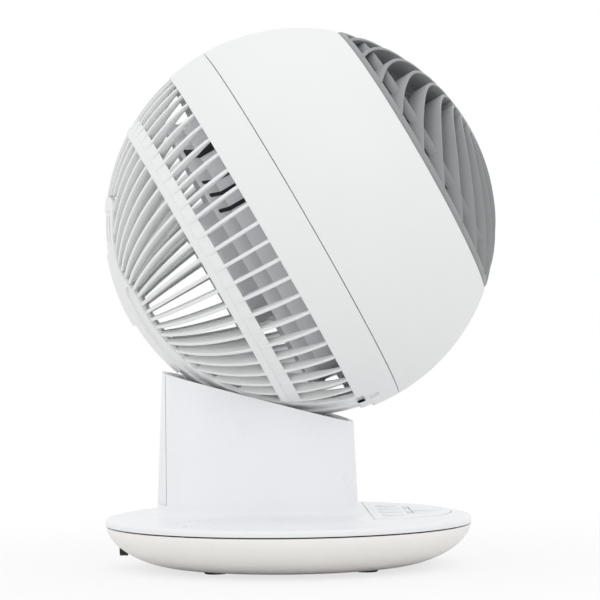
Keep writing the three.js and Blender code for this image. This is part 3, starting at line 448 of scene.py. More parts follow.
def shaded(tree: NodeTree, base: object, factor: object) -> object:
    """Multiplies a colour by a factor and gives the new colour's socket."""
    node = tree.nodes.new("ShaderNodeVectorMath")
    node.operation = "SCALE"
    feed(tree, node.inputs[0], base)
    feed(tree, node.inputs["Scale"], factor)
    return node.outputs[0]


@dataclass
class Effects:
    """The shader node groups that the finishes share, each built once."""

    flow_scale: float = 28.0
    flow_share: float = 0.16
    speck_share: float = 0.10
    streak_scale: Point = (3000.0, 3000.0, 60.0)
    streak_share: float = 0.25
    cloud_scale: float = 90.0
    cloud_share: float = 0.2
    mould_grain: NodeTree = field(init=False)
    machining: NodeTree = field(init=False)

    def __post_init__(self) -> None:
        """Builds the groups."""
        self.mould_grain = self._mould_grain()
        self.machining = self._machining()

    def _mould_grain(self) -> NodeTree:
        """Builds the fine texture, faint flow marks and slight mottle of moulded plastic."""
        inputs = {"Base Color": 0.0, "Base Roughness": 0.4, "Grain Scale": 2500.0, "Grain": 1.0, "Mottle": 0.02}
        group, source, result, place = new_group("mould grain", inputs)
        add = partial(maths, group)
        fine = noise(group, place, source["Grain Scale"], 2.0)
        centred = add("SUBTRACT", noise(group, place, self.flow_scale, 3.0), 0.5)
        tone = add("ADD", add("MULTIPLY", centred, source["Mottle"]), 1.0)
        flow = add("MULTIPLY", centred, self.flow_share)
        speck = add("MULTIPLY", add("SUBTRACT", fine, 0.5), self.speck_share)
        feed(group, result["Skin Color"], shaded(group, source["Base Color"], tone))
        feed(group, result["Roughness"], add("ADD", source["Base Roughness"], add("ADD", flow, speck)))
        feed(group, result["Height"], add("MULTIPLY", fine, source["Grain"]))
        return group

    def _machining(self) -> NodeTree:
        """Builds the drawn streaks and cloudy sheen of plated or turned metal."""
        inputs = {"Base Color": 0.0, "Base Roughness": 0.3, "Streak": 1.0}
        group, source, result, place = new_group("machining", inputs)
        add = partial(maths, group)
        stretch = group.nodes.new("ShaderNodeMapping")
        stretch.inputs["Scale"].default_value = self.streak_scale
        feed(group, stretch.inputs["Vector"], place)
        streak = noise(group, stretch.outputs[0], 1.0, 2.0)
        cloud = add("MULTIPLY", noise(group, place, self.cloud_scale, 3.0), self.cloud_share)
        tone = add("ADD", cloud, 1 - self.cloud_share / 2)
        swing = add("MULTIPLY", add("SUBTRACT", streak, 0.5), self.streak_share)
        feed(group, result["Skin Color"], shaded(group, source["Base Color"], tone))
        feed(group, result["Roughness"], add("ADD", source["Base Roughness"], swing))
        feed(group, result["Height"], add("MULTIPLY", streak, source["Streak"]))
        return group


def dressed_with(name: str, group: NodeTree, values: dict[str, object], fixed: dict[str, object],
                 relief: float) -> Material:
    """Builds a material whose colour, roughness and bump come from a node group.

    Args:
        name: the material's name.
        group: the shared effect.
        values: the group's inputs.
        fixed: sockets that are set on the shader itself.
        relief: the height of the pattern, in metres.

    Returns:
        The material.
    """
    material = bpy.data.materials.new(name)
    material.use_nodes = True
    tree = material.node_tree
    shader = tree.nodes["Principled BSDF"]
    effect = tree.nodes.new("ShaderNodeGroup")
    effect.node_tree = group
    bump = tree.nodes.new("ShaderNodeBump")
    settings = {effect: values, shader: fixed, bump: {"Distance": relief, "Strength": 0.6}}
    for node, chosen in settings.items():
        for label, value in chosen.items():
            node.inputs[label].default_value = value
    feed(tree, shader.inputs["Base Color"], effect.outputs["Skin Color"])
    feed(tree, shader.inputs["Roughness"], effect.outputs["Roughness"])
    feed(tree, bump.inputs["Height"], effect.outputs["Height"])
    feed(tree, shader.inputs["Normal"], bump.outputs["Normal"])
    return material


@dataclass(frozen=True)
class Plastic:
    """A moulded plastic, rubber or laminate finish."""

    name: str
    slot: str
    shade: Colour
    roughness: float
    grain_scale: float = 2500.0
    grain: float = 1.0
    mottle: float = 0.03
    coat: float = 0.0
    relief: float = 0.00002

    def material(self, effects: Effects) -> Material:
        """Builds the material from the shared node groups."""
        values = {"Base Color": self.shade, "Base Roughness": self.roughness, "Grain Scale": self.grain_scale,
                  "Grain": self.grain, "Mottle": self.mottle}
        fixed = {"Coat Weight": self.coat, "Coat Roughness": 0.12, "IOR": 1.5}
        return dressed_with(self.name, effects.mould_grain, values, fixed, self.relief)


@dataclass(frozen=True)
class Metal:
    """A plated or ground metal finish."""

    name: str
    slot: str
    shade: Colour
    roughness: float
    streak: float = 1.0
    relief: float = 0.00001

    def material(self, effects: Effects) -> Material:
        """Builds the material from the shared node groups."""
        values = {"Base Color": self.shade, "Base Roughness": self.roughness, "Streak": self.streak}
        return dressed_with(self.name, effects.machining, values, {"Metallic": 1.0}, self.relief)


FINISHES: tuple[Plastic | Metal, ...] = (
    Plastic("shell_white", "white_shell", colour(234, 235, 235), 0.42, grain_scale=3200, grain=0.8),
    Plastic("stand_white", "white_stand", colour(240, 241, 244), 0.30, grain_scale=2200, grain=0.4, coat=0.15),
    Plastic("base_grey", "warm_base", colour(246, 244, 241), 0.48, grain_scale=2600),
    # The grille is grey plastic, but its grey is darkened further as painted shade on the fins' shaded sides.
    Plastic("grille_grey_with_painted_shade", "grey_grille", colour(150, 152, 153), 0.46, grain_scale=2600),
    Plastic("inner_grey", "inner_plastic", colour(226, 228, 231), 0.55, grain_scale=1800, grain=1.2),
    Plastic("plastic_black", "black_plastic", colour(36, 37, 39), 0.55, grain_scale=2000, mottle=0.1),
    Plastic("nylon", "nylon", colour(232, 230, 222), 0.5, grain_scale=1500, mottle=0.05),
    Plastic("rubber", "foot_rubber", colour(45, 46, 48), 0.8, grain_scale=1200, grain=1.5, mottle=0.2),
    Plastic("board_green", "board", colour(40, 104, 74), 0.5, grain_scale=900, mottle=0.25),
    Plastic("lens_smoke", "lens", colour(178, 182, 184), 0.16, grain=0.1, coat=0.6),
    Metal("steel_ground", "bearing_steel", colour(196, 198, 200), 0.3),
    Metal("steel_zinc", "zinc_steel", colour(176, 178, 181), 0.42),
)


@dataclass
class Workshop:
    """What every sub-assembly needs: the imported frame, the effects and the finished materials by slot."""

    frame: dict
    effects: Effects = field(default_factory=Effects)
    materials: dict[str, Material] = field(default_factory=dict)

    def __post_init__(self) -> None:
        """Builds each finish once."""
        for finish in FINISHES:
            self.materials[finish.slot] = finish.material(self.effects)

    def dress(self, piece: Object, body: str, slot: str, *nodes: str) -> Object:
        """Gives a piece its finish and its body.

        Args:
            piece: the finished piece.
            body: the body it rides on.
            slot: its material slot.
            nodes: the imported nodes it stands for.

        Returns:
            The same piece.
        """
        piece.data.materials.clear()
        piece.data.materials.append(self.materials[slot])
        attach(piece, body)
        if nodes:
            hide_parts(*nodes)
        LOG.info("%s: %d faces", piece.name, len(piece.data.polygons))
        return piece


# ---------------------------------------------------------------- head


@dataclass
class HeadFrame:
    """Where the ball stands, and its size."""

    radius: float = 105.0
    centre: Point = (0.0, -8.0, 183.2)
    tilt: float = 29.4

    @property
    def place(self) -> Matrix:
        """Where the head's own frame stands, with the fan axis along its Z."""
        turn = Matrix.Rotation(math.radians(90 - self.tilt), 4, "X")
        return Matrix.Translation(Vector(self.centre) * MM) @ turn

    def arc(self, radius: float, start: float, end: float, steps: int) -> list[Pair]:
        """Gives (radius, height) points along the ball from one plane to another.

        Args:
            radius: the ball's radius.
            start: the first plane, ahead of the middle.
            end: the last plane.
            steps: the number of steps.

        Returns:
            The points.
        """
        turns = spread(math.asin(start / radius), math.asin(end / radius), steps)
        return [(radius * math.cos(t), radius * math.sin(t)) for t in turns]

    def on_ball(self, radius: float, across: float, sag: float) -> Point:
        """Gives a point at a distance across and an angle down and round from the fan axis, in degrees."""
        reach = across_ball(radius, across)
        turn = math.radians(sag)
        return (across, -reach * math.sin(turn), reach * math.cos(turn))

    def fit(self, shop: Workshop, piece: Object, slot: str, *nodes: str) -> None:
        """Moves a piece into the head, smooths it and dresses it.

        Args:
            shop: the finishes.
            piece: the piece, made with the fan axis along Z.
            slot: its material slot.
            nodes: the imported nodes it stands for.
        """
        smoothed(placed(piece, self.place), HEAD_CREASE)
        shop.dress(piece, Body.HEAD.value, slot, *nodes)


@dataclass
class FrontShell:
    """The smooth front cover of the ball."""

    ball: HeadFrame
    wall: float = 2.4
    opening: float = 67.0
    lip: float = 1.5
    lip_depth: float = 10.0
    lip_root: float = 3.0
    seam: float = 0.4

    def build(self, shop: Workshop) -> None:
        """Builds and dresses the cover."""
        rim = across_ball(self.ball.radius, self.opening) - self.lip
        outside = self.ball.arc(self.ball.radius, self.seam / 2, self.opening, 40)
        inside = self.ball.arc(self.ball.radius - self.wall, self.opening - self.lip_root, self.seam / 2, 30)
        profile = [*outside, (rim, self.opening), (rim, self.opening - self.lip_depth), *inside]
        cover = softened(spun("front_shell", profile, ROUND_STEPS), 0.45, 3, BROAD_EDGE)
        self.ball.fit(shop, cover, "white_shell", "front_cover")


@dataclass
class RearShell:
    """The rear cover: a smooth band, thin ribs, a middle ring and the smooth plate.

    Names that end with start or end are angles in degrees, down and round from the fan axis.
    """

    ball: HeadFrame
    wall: float = 2.4
    seam: float = 0.4
    band_depth: float = 22.0
    tongue_gap: float = 0.7
    tongue_wall: float = 1.7
    tongue_length: float = 4.0
    notch_end: float = 104.0
    rib_count: int = 60
    rib_width: float = 1.9
    rib_sink: float = 0.7
    rib_bite: float = 1.0
    rib_end_depth: float = 1.6
    rib_middle_depth: float = 7.0
    rib_end_angle: float = 23.0
    ring_rear: float = 56.7
    ring_flat: float = 3.528
    ring_wall: float = 2.5
    ring_step: Pair = (0.8, 0.2)
    ring_length: float = 9.5
    ring_lean: float = 5.0
    ring_flange: float = 1.3
    plate_half: float = 44.5
    plate_shoulder: float = 8.0
    plate_grid: tuple[int, int] = (48, 120)
    plate_crowding: float = 0.85
    neck_height: float = 34.0
    neck_half: float = 33.0
    plate_top: float = 64.0
    plate_corner: float = 8.0
    plate_start: float = 100.5
    prism_inset: float = 1.0
    prism_over: float = 2.0
    groove_inner: float = 33.5
    groove_outer: float = 42.0
    groove_depth: float = 1.2
    groove_start: float = 96.0
    groove_end: float = 189.5
    recess_half: float = 31.7
    recess_depth: float = 1.0
    recess_start: float = 102.3
    recess_end: float = 159.5
    track_half: float = 20.5
    track_floor: float = 98.6
    track_start: float = 98.0
    track_end: float = 178.5
    tub_wall: float = 1.8
    tub_bite: float = 0.6
    vent_half: float = 29.0
    vent_recess: float = 0.8
    vent_recess_start: float = 201.0
    vent_recess_end: float = 213.5
    vent_start: float = 204.5
    vent_end: float = 212.0
    vent_count: int = 7
    vent_pitch: float = 8.0
    vent_width: float = 3.0
    # The duct's shade pads: dark pieces that paint the shade seen in the duct's slots between the ribs.
    shade_pad_line: tuple[Pair, ...] = ((79.5, -16.0), (79.5, -30.0), (83.8, -35.8))
    shade_pad_thickness: float = 1.5
    shade_pad_places: tuple[Pair, ...] = ((133.0, 7.0), (149.0, 2.2), (155.0, 2.2), (162.0, 2.2))
    over: float = 4.0  # how far a cutter passes the surfaces it cuts

    def build(self, shop: Workshop) -> None:
        """Builds and dresses the rear cover's pieces and the dark pads behind its ribs, which are painted shade in
        the duct's slots.
        """
        band, *others = [self.band(), self.ring(), self.ribs(), self.plate(), self.tub()]
        # Dark pads that paint the shade in the duct's slots.
        self.ball.fit(shop, self.shade_pads(), "black_plastic")
        self.ball.fit(shop, band, "white_shell", "rear_cover")
        for piece in others:
            self.ball.fit(shop, piece, "white_shell")

    def shade_pads(self) -> Object:
        """Builds dark pads on the duct as painted shade: they stand in for the shade in the duct's slots, which
        shows between the ribs.
        """
        outline = [*self.shade_pad_line, *[(r - self.shade_pad_thickness, z) for r, z in reversed(self.shade_pad_line)]]
        made = []
        for angle, width in self.shade_pad_places:
            pad = softened(raised("pad", outline, -width / 2, width / 2), 0.5, 2, BROAD_EDGE)
            made.append(stood(pad, math.radians(angle)))
        return joined("duct_shade_pads", made)

    def band(self) -> Object:
        """Builds the smooth band behind the seam, with its notches for the track and the guides."""
        inner = self.ball.radius - self.wall
        tongue = inner - self.tongue_gap
        root = tongue - self.tongue_wall
        outside = self.ball.arc(self.ball.radius, -self.band_depth, -self.seam / 2, 16)
        inside = self.ball.arc(inner, -self.band_depth, -self.tongue_length, 12)
        step = [(tongue, -self.seam / 2), (tongue, self.tongue_length), (root, self.tongue_length)]
        band = spun("rear_band", [*outside, *step, *reversed(inside)], ROUND_STEPS)
        notch = self.strip("track_notch", 0, self.track_half, inner - self.over, self.track_start, self.notch_end)
        combine(band, Operation.CUT, notch, *self.groove_tools(-1), *self.groove_tools(1))
        return softened(band, 0.35, 2, BROAD_EDGE)

    def ring(self) -> Object:
        """Builds the middle ring, a narrow band with a leaning flange ahead of it."""
        foot = across_ball(self.ball.radius, self.ring_rear) - self.ring_wall
        outside = self.ball.arc(self.ball.radius, -self.ring_rear, self.ring_flat - self.ring_rear, 4)
        front, lean = self.ring_length - self.ring_rear, foot + self.ring_lean
        step = (outside[-1][0] - self.ring_step[0], outside[-1][1] + self.ring_step[1])
        profile = [*outside, step, (lean + self.ring_flange, front), (lean, front), (foot, -self.ring_rear)]
        ring = softened(spun("middle_ring", profile, ROUND_STEPS), 0.3, 2, 35)
        return combine(ring, Operation.CUT, self.prism())

    def rib_edge(self, depth: Callable[[float], float], steps: int) -> list[Pair]:
        """Gives (radius, height) points of a rib's edge, from the band to the plate.

        Args:
            depth: how far under the rib's outer edge the points lie, at a share of the way.
            steps: the number of steps.

        Returns:
            The points.
        """
        outer = self.ball.radius - self.rib_sink
        first = math.acos((self.band_depth - self.rib_bite) / outer)
        points = []
        for share in spread(0, 1, steps):
            turn = first + (math.radians(self.rib_end_angle) - first) * share
            reach = outer - depth(share)
            points.append((reach * math.sin(turn), -reach * math.cos(turn)))
        return points

    def ribs(self) -> Object:
        """Builds one rib and its copies round the rear, apart from those that the plate would hide."""
        swell = self.rib_middle_depth - self.rib_end_depth
        inner = self.rib_edge(lambda t: self.rib_end_depth + swell * math.sin(math.pi * t), 28)
        outline = [*self.rib_edge(lambda t: 0.0, 36), *reversed(inner)]
        rib = softened(raised("rib", outline, -self.rib_width / 2, self.rib_width / 2), 0.45, 2, BROAD_EDGE)
        stood(rib, math.pi / 2)
        reach = across_ball(self.ball.radius - self.rib_sink, self.band_depth)
        hidden = self.plate_half + self.rib_width
        turns = [2 * math.pi * i / self.rib_count for i in range(self.rib_count)]
        shown = [t for t in turns if math.cos(t) > 0 or reach * abs(math.sin(t)) > hidden]
        return combine(turned_copies("rear_ribs", rib, shown), Operation.CUT, self.prism())

    def half_width(self, height: float) -> float:
        """Gives the plate's half width at a height in the head's frame."""
        if height <= self.plate_shoulder:
            return self.plate_half
        if height < self.neck_height:
            t = (height - self.plate_shoulder) / (self.neck_height - self.plate_shoulder)
            return self.plate_half + (self.neck_half - self.plate_half) * t * t * (3 - 2 * t)
        rise = max(0.0, height - (self.plate_top - self.plate_corner))
        corner = across_ball(self.plate_corner, min(rise, self.plate_corner))
        return self.neck_half - self.plate_corner + corner

    def prism(self) -> Object:
        """Builds the plate's outline, slightly smaller, as a solid behind the band."""
        corner = self.plate_top - self.plate_corner
        heights = [-self.ball.radius, *spread(self.plate_shoulder, self.neck_height, 12)]
        heights += [corner + self.plate_corner * math.sin(t) for t in spread(0, math.pi / 2, 8)]
        inset = self.prism_inset
        side = [(self.half_width(min(y, self.plate_top)) - inset, y - inset * (y > corner)) for y in heights]
        outline = side + [(-x, y) for x, y in reversed(side)]
        return raised("plate_prism", outline, -self.ball.radius - inset, self.prism_over - self.band_depth)

    def plate(self) -> Object:
        """Builds the smooth plate with its grooves, recesses and vents."""
        across_count, along_count = self.plate_grid
        bpy.ops.mesh.primitive_grid_add(x_subdivisions=across_count, y_subdivisions=along_count, size=1)
        plate = bpy.context.active_object
        plate.name = "rear_plate"
        radius = self.ball.radius
        top_sag = 180 + math.degrees(math.asin(self.plate_top / radius))
        for corner in plate.data.vertices:
            share = (corner.co.y + 0.5) ** self.plate_crowding
            sag = self.plate_start + (top_sag - self.plate_start) * share
            height = min(-radius * math.sin(math.radians(sag)), self.plate_top - 0.02)
            across = 2 * corner.co.x * self.half_width(height)
            corner.co = Vector(self.ball.on_ball(radius, across, sag)) * MM
        middle = plate.data.polygons[len(plate.data.polygons) // 2]
        if middle.normal.dot(middle.center) < 0:
            edited(plate, bpy.ops.mesh.flip_normals)
        modified(plate, "SOLIDIFY", thickness=self.wall * MM, offset=-1)
        return softened(combine(plate, Operation.CUT, *self.plate_tools()), 0.25, 2, BROAD_EDGE)

    def strip(self, name: str, middle: float, half: float, floor: float, start: float, end: float) -> Object:
        """Builds a cutter that sweeps round the tilt axis from one angle to another.

        Args:
            name: its name.
            middle: the middle of its width.
            half: half its width.
            floor: the ball radius it cuts down to.
            start: the first angle.
            end: the last angle.

        Returns:
            The cutter.
        """
        sides = spread(middle - half, middle + half, 6)
        rings = []
        for sag in spread(start, end, max(4, int((end - start) / 2))):
            low = [self.ball.on_ball(floor, x, sag) for x in sides]
            high = [self.ball.on_ball(self.ball.radius + self.over, x, sag) for x in reversed(sides)]
            rings.append([*low, *high])
        return lofted(name, rings)

    def plate_tools(self) -> list[Object]:
        """Builds the cutters of the plate, in the order they are used."""
        radius = self.ball.radius
        tools = [
            self.strip("wide_recess", 0, self.recess_half, radius - self.recess_depth,
                       self.recess_start, self.recess_end),
            self.strip("track", 0, self.track_half, self.track_floor - self.over,
                       self.track_start, self.track_end),
            self.strip("vent_recess", 0, self.vent_half, radius - self.vent_recess,
                       self.vent_recess_start, self.vent_recess_end),
            *self.groove_tools(-1),
            *self.groove_tools(1),
        ]
        for i in range(self.vent_count):
            middle = self.vent_pitch * (i - (self.vent_count - 1) / 2)
            tools.append(self.strip("vent", middle, self.vent_width / 2, radius - self.wall - self.over,
                                    self.vent_start, self.vent_end))
        return tools

    def groove_tools(self, side: int) -> list[Object]:
        """Builds the round-ended guide groove's cutters on one side."""
        middle = (self.groove_inner + self.groove_outer) / 2 * side
        half = (self.groove_outer - self.groove_inner) / 2
        radius = self.ball.radius
        floor = radius - self.groove_depth
        margin = math.degrees(half / radius)
        ends = (self.groove_start + margin, self.groove_end - margin)
        lean = Matrix.Rotation(math.asin(middle / radius), 4, "Y")
        tools = [self.strip("groove", middle, half, floor, *ends)]
        for end in ends:
            cap = rod("groove_end", half, floor, radius + self.over)
            tools.append(placed(cap, Matrix.Rotation(math.radians(end), 4, "X") @ lean))
        return tools

    def tub(self) -> Object:
        """Builds the tub under the track, open to the outside."""
        half, floor = self.track_half + self.tub_wall, self.track_floor - self.tub_wall
        roof = across_ball(self.ball.radius - self.wall, half) + self.tub_bite
        right = [(half, floor), (half, roof), (self.track_half, roof), (self.track_half, self.track_floor)]
        left = [(-x, r) for x, r in reversed(right)]
        section = [left[-1], *right, *left[:-1]]
        rings = []
        for sag in spread(self.track_start, self.track_end, 40):
            turn = math.radians(sag)
            rings.append([(x, -r * math.sin(turn), r * math.cos(turn)) for x, r in section])
        return lofted("track_tub", rings)


@dataclass
class FrontGrille:
    """The spiral front grille with its round cap."""

    ball: HeadFrame
    fins: int = 22
    width: float = 1.8
    depth: float = 10.0
    sweep: float = 1.2
    end_sweep: float = 0.16
    end_start: float = 69.0
    phase: float = -4.5
    sink: float = 0.4
    hub: float = 22.0
    hub_bite: float = 1.0
    hub_length: float = 9.0
    ring_wall: float = 1.7
    ring_depth: float = 9.0
    ring_steps: int = 176
    opening: float = 67.0
    lip_gap: float = 1.85
    cap: float = 18.5
    cap_recess: float = 4.0
    cap_gap: float = 0.35
    cap_steps: int = 96
    brace_radius: float = 68.0
    brace_half: float = 0.8
    brace_sink: float = 2.5
    brace_depth: float = 5.0

    def build(self, shop: Workshop) -> None:
        """Builds and dresses the grille and its cap."""
        angles = [2 * math.pi * i / self.fins for i in range(self.fins)]
        fins = turned_copies("fins", self.fin(), angles)
        grille = joined("front_fins", [fins, self.rim(), self.centre(), self.brace()])
        self.ball.fit(shop, grille, "grey_grille", "front_grille")
        self.ball.fit(shop, self.dome(), "grey_grille", "grille_cap")

    def front_at(self, radius: float) -> float:
        """Gives the height of the fins' front edges at a radius."""
        return across_ball(self.ball.radius - self.sink, radius)

    @property
    def reach(self) -> float:
        """The outside radius of the grille's rim."""
        return across_ball(self.ball.radius, self.opening) - self.lip_gap

    def turn_at(self, radius: float) -> float:
        """Gives a fin's turn from the top at a radius, in radians."""
        late = max(0.0, radius - self.end_start) * self.end_sweep
        return math.radians(self.phase + self.sweep * radius + late)

    def fin(self) -> Object:
        """Builds one curved fin."""
        rings = []
        drop = Vector((0, 0, -self.depth))
        for radius in spread(self.hub - self.hub_bite, self.reach - self.ring_wall / 2, 26):
            turn = self.turn_at(radius)
            middle = Vector((-radius * math.sin(turn), radius * math.cos(turn), self.front_at(radius)))
            slope = (self.turn_at(radius + 0.5) - self.turn_at(radius - 0.5)) * radius
            along = (Matrix.Rotation(turn + math.pi / 2, 3, "Z") @ Vector((1, slope, 0))).normalized()
            half = Vector((-along.y, along.x, 0)) * (self.width / 2)
            ring = [middle - half, middle + half, middle + half + drop, middle - half + drop]
            rings.append([tuple(p) for p in ring])
        return softened(lofted("fin", rings), 0.4, 2, BROAD_EDGE)

    def rim(self) -> Object:
        """Builds the grille's outer ring."""
        outer, inner = self.reach, self.reach - self.ring_wall
        rear = self.opening - self.ring_depth
        profile = [(inner, rear), (outer, rear), (outer, self.front_at(outer)), (inner, self.front_at(inner))]
        return softened(spun("rim", profile, self.ring_steps), 0.3)

    def brace(self) -> Object:
        """Builds the thin ring that stiffens the fins behind their front edges."""
        front = self.front_at(self.brace_radius) - self.brace_sink
        rear = front - self.brace_depth
        inner, outer = self.brace_radius - self.brace_half, self.brace_radius + self.brace_half
        profile = [(inner, rear), (outer, rear), (outer, front), (inner, front)]
        return softened(spun("brace", profile, self.ring_steps), 0.3)

    def centre(self) -> Object:
        """Builds the grille's hub, with a seat for the cap."""
        edge = self.front_at(self.hub)
        seat, floor, rear = self.cap + self.cap_gap, edge - self.cap_recess, edge - self.hub_length
        profile = [(0, rear), (self.hub, rear), (self.hub, edge), (seat, self.front_at(seat)), (seat, floor),
                   (0, floor)]
        return softened(spun("hub", profile, self.cap_steps), 0.3)

    def dome(self) -> Object:
        """Builds the round cap."""
        foot = self.front_at(self.hub) - self.cap_recess + self.cap_gap
        top = [(r, self.front_at(r)) for r in spread(self.cap, 0, 14)]
        return softened(spun("centre_cap", [(0, foot), (self.cap, foot), *top], self.cap_steps), 0.5, 3)


# ---------------------------------------------------------------- stand


def oval(half_width: float, half_length: float, exponent: float, count: int = 120) -> list[Pair]:
    """Gives the corners of a rounded oval.

    Args:
        half_width: half its size along X.
        half_length: half its size along Y.
        exponent: its roundness, where 2 is an ellipse.
        count: the number of corners.

    Returns:
        The corners.
    """
    def bulge(value: float) -> float:
        """Swells a sine or cosine toward its corner."""
        return math.copysign(abs(value) ** (2 / exponent), value)

    turns = [2 * math.pi * (i + 0.5) / count for i in range(count)]
    return [(half_width * bulge(math.cos(t)), half_length * bulge(math.sin(t))) for t in turns]


@dataclass
class Stand:
    """The turntable's cover with the column that rises from it, and the strip up the column's back."""

    ball: HeadFrame
    radius: float = 98.0
    top: float = 28.9
    flat_radius: float = 76.0
    rim_top: float = 26.7
    rim_round: float = 1.6
    rim_foot: float = 23.2
    wall: float = 2.6
    behind: float = 16.5
    mouth_length: float = 51.0
    mouth_width: float = 47.6
    mouth_height: float = 91.3
    draft: float = 0.043
    roundness: float = 3.2
    fillet: float = 5.0
    fillet_crowding: float = 1.6
    column_bite: float = 1.0
    column_heights: Pair = (60.0, 125.0)
    core_foot: float = 6.0
    core_top: float = 135.0
    lean: float = 15.1
    mouth_distance: float = 95.19
    strip_plane: float = 64.8
    strip_foot: float = 35.4
    strip_gap: float = 0.15
    strip_limits: Pair = (95.0, 180.0)

    def build(self, shop: Workshop, pocket: Object, pad: Object, holes: Sequence[Object]) -> None:
        """Builds and dresses the housing and the strip.

        Args:
            shop: the finishes.
            pocket: the control panel's pocket, as a cutter.
            pad: the thicker place under the panel.
            holes: the buttons' holes, as cutters.
        """
        strip = combine(self.column("column_strip"), Operation.CUT, self.core())
        combine(strip, Operation.KEEP, self.strip_box(self.strip_gap))
        housing = combine(self.disc(), Operation.JOIN, pad, self.column("column"))
        combine(housing, Operation.CUT, self.core(), self.strip_box(0), pocket, *holes)
        housing.name = "stand_shell"
        smoothed(softened(housing, 0.4, 2, BROAD_EDGE))
        smoothed(softened(strip, 0.35, 2, BROAD_EDGE))
        shop.dress(housing, Body.TURNTABLE.value, "white_stand", "stand_housing")
        shop.dress(strip, Body.TURNTABLE.value, "white_stand", "column_rear_cover")

    def disc(self) -> Object:
        """Builds the turntable's disc, flat in the middle and falling toward its rim."""
        edge = self.radius - self.rim_round
        fall = (self.top - self.rim_top) / (edge - self.flat_radius) ** 2
        crown = [(r, self.top - fall * (r - self.flat_radius) ** 2) for r in spread(self.flat_radius, edge, 10)]
        corner = [(edge + self.rim_round * math.cos(t), self.rim_top - self.rim_round * (1 - math.sin(t)))
                  for t in spread(math.pi / 2, 0, 6)]
        under = [(r, z - self.wall) for r, z in reversed(crown)]
        middle, inner = self.mouth_width / 2, self.radius - self.wall
        skirt = [(self.radius, self.rim_foot), (inner, self.rim_foot), (inner, self.rim_top - self.wall)]
        profile = [(middle, self.top), *crown, *corner[1:], *skirt, *under, (middle, self.top - self.wall)]
        return spun("turntable_disc", profile, ROUND_STEPS)

    def outline_at(self, height: float, inset: float, flare: float) -> list[Point]:
        """Gives the column's outline at a height."""
        growth = self.draft * (self.mouth_height - height) - inset + flare
        outline = oval(self.mouth_width + growth, self.mouth_length + growth, self.roundness)
        return [(x, y + self.behind, height) for x, y in outline]

    def column(self, name: str) -> Object:
        """Builds the column as a solid, cut off by its sloping mouth."""
        flared = [self.top + self.fillet * t ** self.fillet_crowding for t in spread(0, 1, 9)]
        rings = []
        for height in (self.top - self.wall + self.column_bite, *flared, *self.column_heights):
            rise = min(max(height - self.top, 0), self.fillet)
            flare = self.fillet - across_ball(self.fillet, self.fillet - rise)
            rings.append(self.outline_at(height, 0, flare))
        turn = math.radians(self.lean)
        normal = Vector((0, math.sin(turn), -math.cos(turn)))
        mouth = (Vector(self.ball.centre) + normal * self.mouth_distance) * MM
        slice_off = partial(bpy.ops.mesh.bisect, plane_co=mouth, plane_no=normal, use_fill=True, clear_inner=True)
        return closed_up(edited(lofted(name, rings), slice_off))

    def core(self) -> Object:
        """Builds the column's hollow, which passes through the disc."""
        ends = (self.top - self.core_foot, self.core_top)
        return lofted("column_core", [self.outline_at(z, self.wall, 0) for z in ends])

    def strip_box(self, gap: float) -> Object:
        """Builds the region of the strip up the column's back."""
        low = (-self.mouth_length, self.strip_plane + gap, self.strip_foot + gap)
        return block("strip_region", low, (self.mouth_length, *self.strip_limits))


